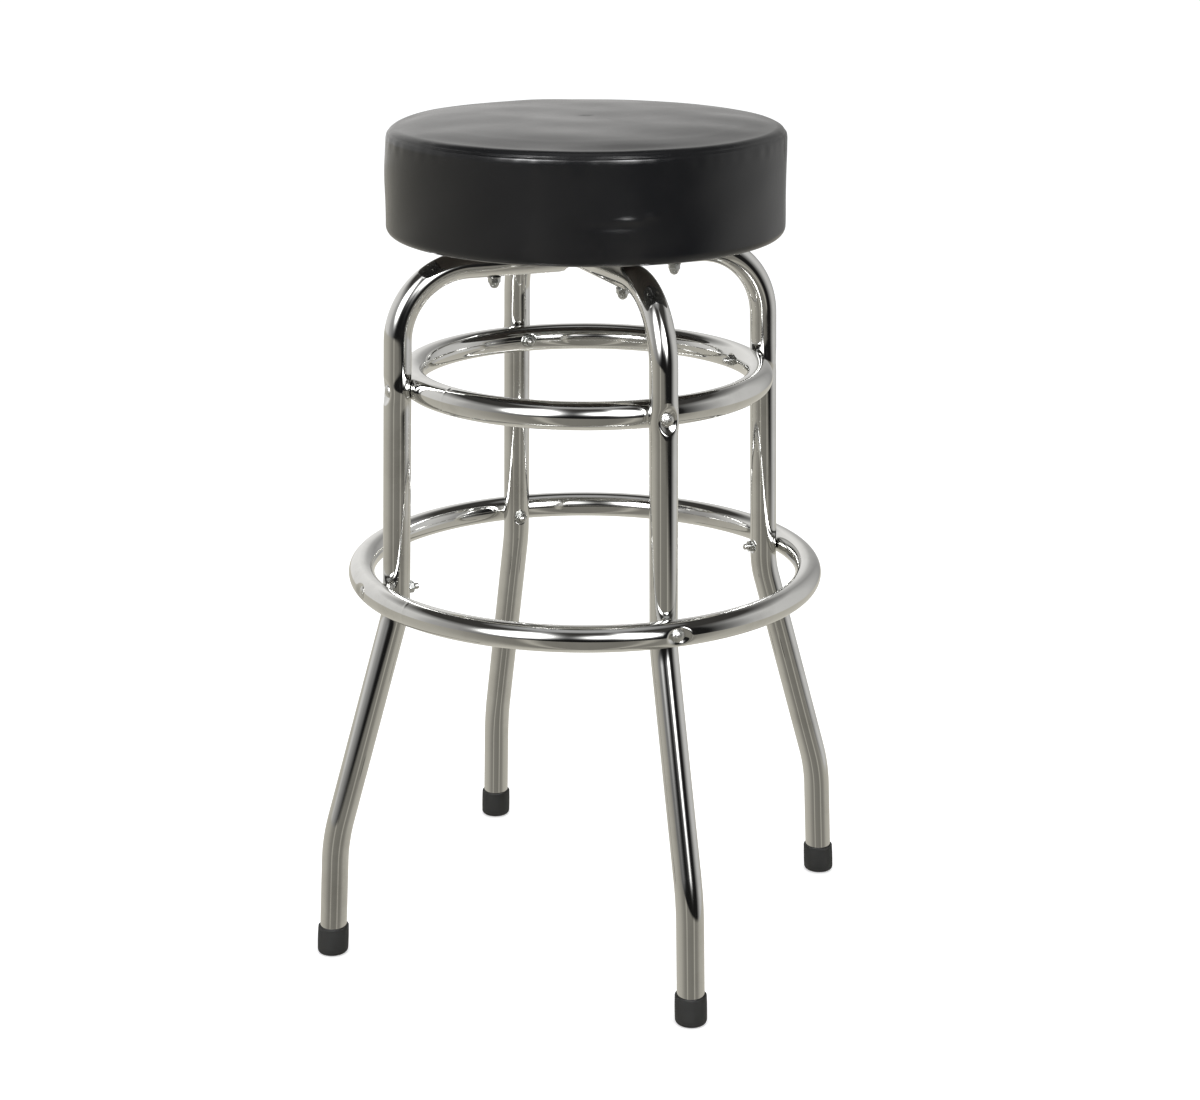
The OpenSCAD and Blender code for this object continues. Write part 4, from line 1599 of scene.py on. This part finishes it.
@dataclass(frozen=True)
class CameraFit:
    """Where the camera stands: the stool is seen from the front, a little to its left."""

    distance: float = 2.2898
    height: float = 1.0755
    turn: float = math.radians(21.8077)
    yaw: float = math.radians(0.3507)
    pitch: float = math.radians(17.1916)
    roll: float = math.radians(0.1897)
    lens: float = 76.61

    def build(self) -> Object:
        """Makes the camera and looks through it.

        Returns:
            The camera.
        """
        ahead = np.array([math.sin(self.yaw) * math.cos(self.pitch),
                          math.cos(self.yaw) * math.cos(self.pitch), -math.sin(self.pitch)])
        right = np.cross(ahead, (0.0, 0.0, 1.0))
        right /= np.linalg.norm(right)
        up = np.cross(right, ahead)
        cos, sin = math.cos(self.roll), math.sin(self.roll)
        axes = np.stack([cos * right + sin * up, cos * up - sin * right, -ahead])
        axes = rotated(axes, -self.turn)
        place = rotated(np.array([0.0, -self.distance, self.height]), -self.turn)
        matrix = np.identity(4)
        matrix[:3, :3] = axes.T
        matrix[:3, 3] = place
        data = bpy.data.cameras.new("view")
        data.lens, data.sensor_width = self.lens, 36.0
        data.clip_end = 50.0
        camera = bpy.data.objects.new("view", data)
        camera.matrix_world = Matrix(matrix.tolist())
        bpy.context.scene.collection.objects.link(camera)
        bpy.context.scene.camera = camera
        return camera


@dataclass(frozen=True)
class SoftBox:
    """A rectangular lamp that faces the stool, in the camera's own left, right and depth."""

    name: str
    place: tuple[float, float, float]
    target: tuple[float, float, float]
    size: tuple[float, float]
    power: float
    colour: tuple[float, float, float] = (1.0, 1.0, 1.0)

    def build(self, turn: float) -> Object:
        """Makes the lamp.

        Args:
            turn: the camera's turn about the vertical axis.

        Returns:
            The lamp.
        """
        data = bpy.data.lights.new(self.name, "AREA")
        data.shape, (data.size, data.size_y) = "RECTANGLE", self.size
        data.energy, data.color = self.power, self.colour
        lamp = bpy.data.objects.new(self.name, data)
        place = rotated(np.array(self.place), -turn)
        aim = rotated(np.array(self.target), -turn) - place
        back = -aim / np.linalg.norm(aim)
        side = np.cross((0.0, 0.0, 1.0), back)
        side /= np.linalg.norm(side)
        matrix = np.identity(4)
        matrix[:3, :3] = np.stack([side, np.cross(back, side), back], axis=-1)
        matrix[:3, 3] = place
        lamp.matrix_world = Matrix(matrix.tolist())
        lamp.visible_glossy = False
        bpy.context.scene.collection.objects.link(lamp)
        return lamp


SOFT_BOXES = (
    SoftBox("key_left", (-1.15, -1.75, 2.65), (0.0, 0.0, 0.60), (0.62, 0.50), 16.0),
    SoftBox("key_right", (1.20, -1.80, 2.60), (0.0, 0.0, 0.60), (0.48, 0.50), 13.0),
    SoftBox("overhead", (0.1, 0.9, 2.7), (0.0, 0.0, 0.4), (1.0, 0.5), 12.0),
)


@dataclass
class Studio:
    """Floor, world and lamps."""

    turn: float

    def bearing(self, g: Graph, way) -> tuple:
        """Splits a direction into its bearing from the camera's axis and its height.

        Formula: with x to the camera's right and y away from it, the bearing is the angle of
        x over minus y, so that it is nothing towards the camera and grows to the right.

        Args:
            g: the node tree's graph.
            way: the direction.

        Returns:
            The bearing as a share of a turn from 0 to 1, its sine, and the height.
        """
        flat = g.add("ShaderNodeMapping", {"Vector": way, "Rotation": (0, 0, self.turn)})
        axes = g.add("ShaderNodeSeparateXYZ", {"Vector": flat.outputs[0]}).outputs
        bearing = g.maths("ARCTAN2", axes["X"], g.maths("MULTIPLY", axes["Y"], -1.0))
        return g.ramp(bearing, -math.pi, math.pi), g.maths("SINE", bearing), axes["Z"]

    def sweep(self, g: Graph, share, stops: tuple, tint: tuple):
        """A colour that changes with the bearing.

        Args:
            g: the node tree's graph.
            share: the bearing as a share of a turn.
            stops: pairs of a bearing in degrees and a brightness.
            tint: the colour at a brightness of one.

        Returns:
            A colour output.
        """
        ramp = g.add("ShaderNodeValToRGB", {"Fac": share})
        for _ in range(len(stops) - 2):
            ramp.color_ramp.elements.new(0.5)
        for element, (degrees, level) in zip(ramp.color_ramp.elements, stops):
            element.position = 0.5 + degrees / 360.0
            element.color = (*(level * part for part in tint), 1.0)
        return ramp.outputs["Color"]

    def glow(self, g: Graph, glow: "Glow", share, up, under):
        """Adds a soft-edged lamp to a colour.

        Formula: its level times e to the minus the sum of two squares, the bearing from its
        middle over its width and the height from its middle over its depth.

        Args:
            g: the node tree's graph.
            glow: the lamp.
            share: the bearing as a share of a turn.
            up: the height.
            under: the colour below it.

        Returns:
            The brightened colour.
        """
        total = 0.0
        for value, middle, size in ((share, 0.5 + glow.bearing / 360.0, glow.width / 360.0),
                                    (up, glow.up, glow.depth)):
            off = g.maths("DIVIDE", g.maths("SUBTRACT", value, middle), size)
            total = g.maths("ADD", g.maths("MULTIPLY", off, off), total)
        light = g.maths("MULTIPLY", g.maths("EXPONENT", g.maths("MULTIPLY", total, -1.0)),
                        glow.level)
        added = g.add("ShaderNodeVectorMath", {0: under, 1: light}, operation="ADD")
        return added.outputs[0]

    def world(self) -> None:
        """White for the camera; reflections see a dark room in front and white behind.

        Formula: above a low edge the room goes from dark in front to white behind and fades to
        a dark ceiling; below it lies an olive table, lighter behind, with the glare of two
        lamps in front.
        """
        world = bpy.data.worlds.new("studio")
        bpy.context.scene.world = world
        world.use_nodes = True
        g = Graph(world.node_tree)
        g.tree.nodes.clear()
        way = g.add("ShaderNodeTexCoord").outputs["Generated"]
        share, side, up = self.bearing(g, way)
        room = self.sweep(g, share, ROOM_STOPS, ROOM_TINT)
        dark = g.mix(g.ramp(up, 0.50, 0.74), room, CEILING_COLOUR)
        above = g.mix(g.ramp(up, 0.90, 0.97), dark, OVERHEAD_COLOUR)
        table = self.sweep(g, share, TABLE_STOPS, TABLE_TINT)
        edge = g.maths("ADD", up, g.maths("MULTIPLY", side, 0.12))
        seen = g.mix(g.ramp(edge, -0.19, -0.15), table, above)
        for glow in GLOWS:
            seen = self.glow(g, glow, share, up, seen)
        path = g.add("ShaderNodeLightPath").outputs
        lit = g.mix(path["Is Glossy Ray"], FILL_LIGHT, seen)
        final = g.mix(path["Is Camera Ray"], lit, (1.0, 1.0, 1.0))
        background = g.add("ShaderNodeBackground", {"Color": final, "Strength": 1.0})
        out = g.add("ShaderNodeOutputWorld")
        g.tree.links.new(background.outputs[0], out.inputs["Surface"])

    def floor(self) -> None:
        """A wide pale floor; reflections see the world's table in its place."""
        corners = [(x * FLOOR_HALF, y * FLOOR_HALF, -FLOOR_DROP)
                   for x, y in ((-1, -1), (1, -1), (1, 1), (-1, 1))]
        mesh = bpy.data.meshes.new("floor")
        mesh.from_pydata(corners, [], [(0, 1, 2, 3)])
        floor = bpy.data.objects.new("floor", mesh)
        bpy.context.scene.collection.objects.link(floor)
        floor.visible_glossy = False
        material = bpy.data.materials.new("floor")
        material.use_nodes = True
        g = Graph(material.node_tree)
        shader = g.tree.nodes["Principled BSDF"]
        shader.inputs["Base Color"].default_value = (FLOOR_GREY, FLOOR_GREY, FLOOR_GREY, 1.0)
        shader.inputs["Roughness"].default_value = 1.0
        shader.inputs["Specular IOR Level"].default_value = 0.0
        shader.inputs["Emission Color"].default_value = (1.0, 1.0, 1.0, 1.0)
        path = g.add("ShaderNodeLightPath").outputs
        g.put(shader.inputs["Emission Strength"],
              g.maths("MULTIPLY", path["Is Camera Ray"], FLOOR_GLOW))
        mesh.materials.append(material)
        floor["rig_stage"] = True

    def build(self) -> None:
        """Makes the whole set."""
        self.world()
        self.floor()
        for box in SOFT_BOXES:
            box.build(self.turn)


@dataclass(frozen=True)
class Glow:
    """A soft-edged lamp as reflections see it: bearing and width in degrees."""

    bearing: float
    up: float
    width: float
    depth: float
    level: float


GLOWS = (Glow(-34.0, 0.46, 11.0, 0.20, 24.0), Glow(25.5, 0.46, 7.0, 0.20, 27.0),
         Glow(9.0, 0.46, 9.0, 0.16, 3.5))
# Colours of the reflected room, and the light that reaches surfaces without a gloss.
ROOM_TINT = (1.0, 0.99, 0.97)
TABLE_TINT = (1.0, 0.96, 0.85)
CEILING_COLOUR = (0.045, 0.043, 0.040)
OVERHEAD_COLOUR = (0.42, 0.42, 0.42)
FILL_LIGHT = (0.70, 0.71, 0.72)
FLOOR_HALF = 40.0
FLOOR_DROP = 0.4 * MM
FLOOR_GREY = 0.92
FLOOR_GLOW = 0.45
ROOM_STOPS = (  # bearing in degrees and brightness
    (-180, 0.74), (-168, 0.88), (-110, 0.72), (-88, 0.62), (-78, 0.42), (-60, 0.30),
    (-34, 0.06), (-24, 0.010), (60, 0.012), (72, 0.20), (86, 0.48), (100, 0.62),
    (130, 0.58), (156, 0.32), (170, 0.46), (180, 0.74))
TABLE_STOPS = (
    (-180, 0.62), (-120, 0.52), (-80, 0.44), (-45, 0.24), (-33, 0.23), (-27, 0.48),
    (-20, 0.23), (18, 0.20), (25, 0.23), (31, 0.48), (38, 0.23), (55, 0.24), (80, 0.44),
    (120, 0.50), (180, 0.62))


# ------------------------------------------------------------------- main


def build_frame(sizes: StoolSizes) -> None:
    """Makes the tubes, rings, fasteners and feet.

    Args:
        sizes: the stool's dimensions.
    """
    LegTube(sizes, keeps_top=True).build("side_leg_tube", "u_frame_side", 0)
    LegTube(sizes, keeps_top=False).build("front_leg_tube", "u_frame_front", 1)
    RingTube(sizes.inner_radius, sizes.inner_r, sizes.inner_height, sizes, False).build(
        "inner_tie_ring", "inner_ring")
    RingTube(sizes.rest_radius, sizes.rest_r, sizes.rest_height, sizes, True).build(
        "footrest_tube", "footrest_ring")
    Fasteners(sizes).build()
    for quarter, side in enumerate(("right", "back", "left", "front")):
        RubberFoot(sizes).build(f"{side}_foot_cap", f"foot_{side}", quarter)


def main() -> None:
    """Builds the stool's looks, the set and the camera."""
    logging.basicConfig(level=logging.INFO, format="%(message)s")
    build_frame(StoolSizes())
    PaddedSeat().build()
    materials = Materials(handling_marks(), moulded_grain())
    materials.build()
    materials.dress()
    bpy.context.scene.view_settings.view_transform = "Standard"
    camera = CameraFit()
    camera.build()
    Studio(camera.turn).build()


if __name__ == "__main__":
    main()
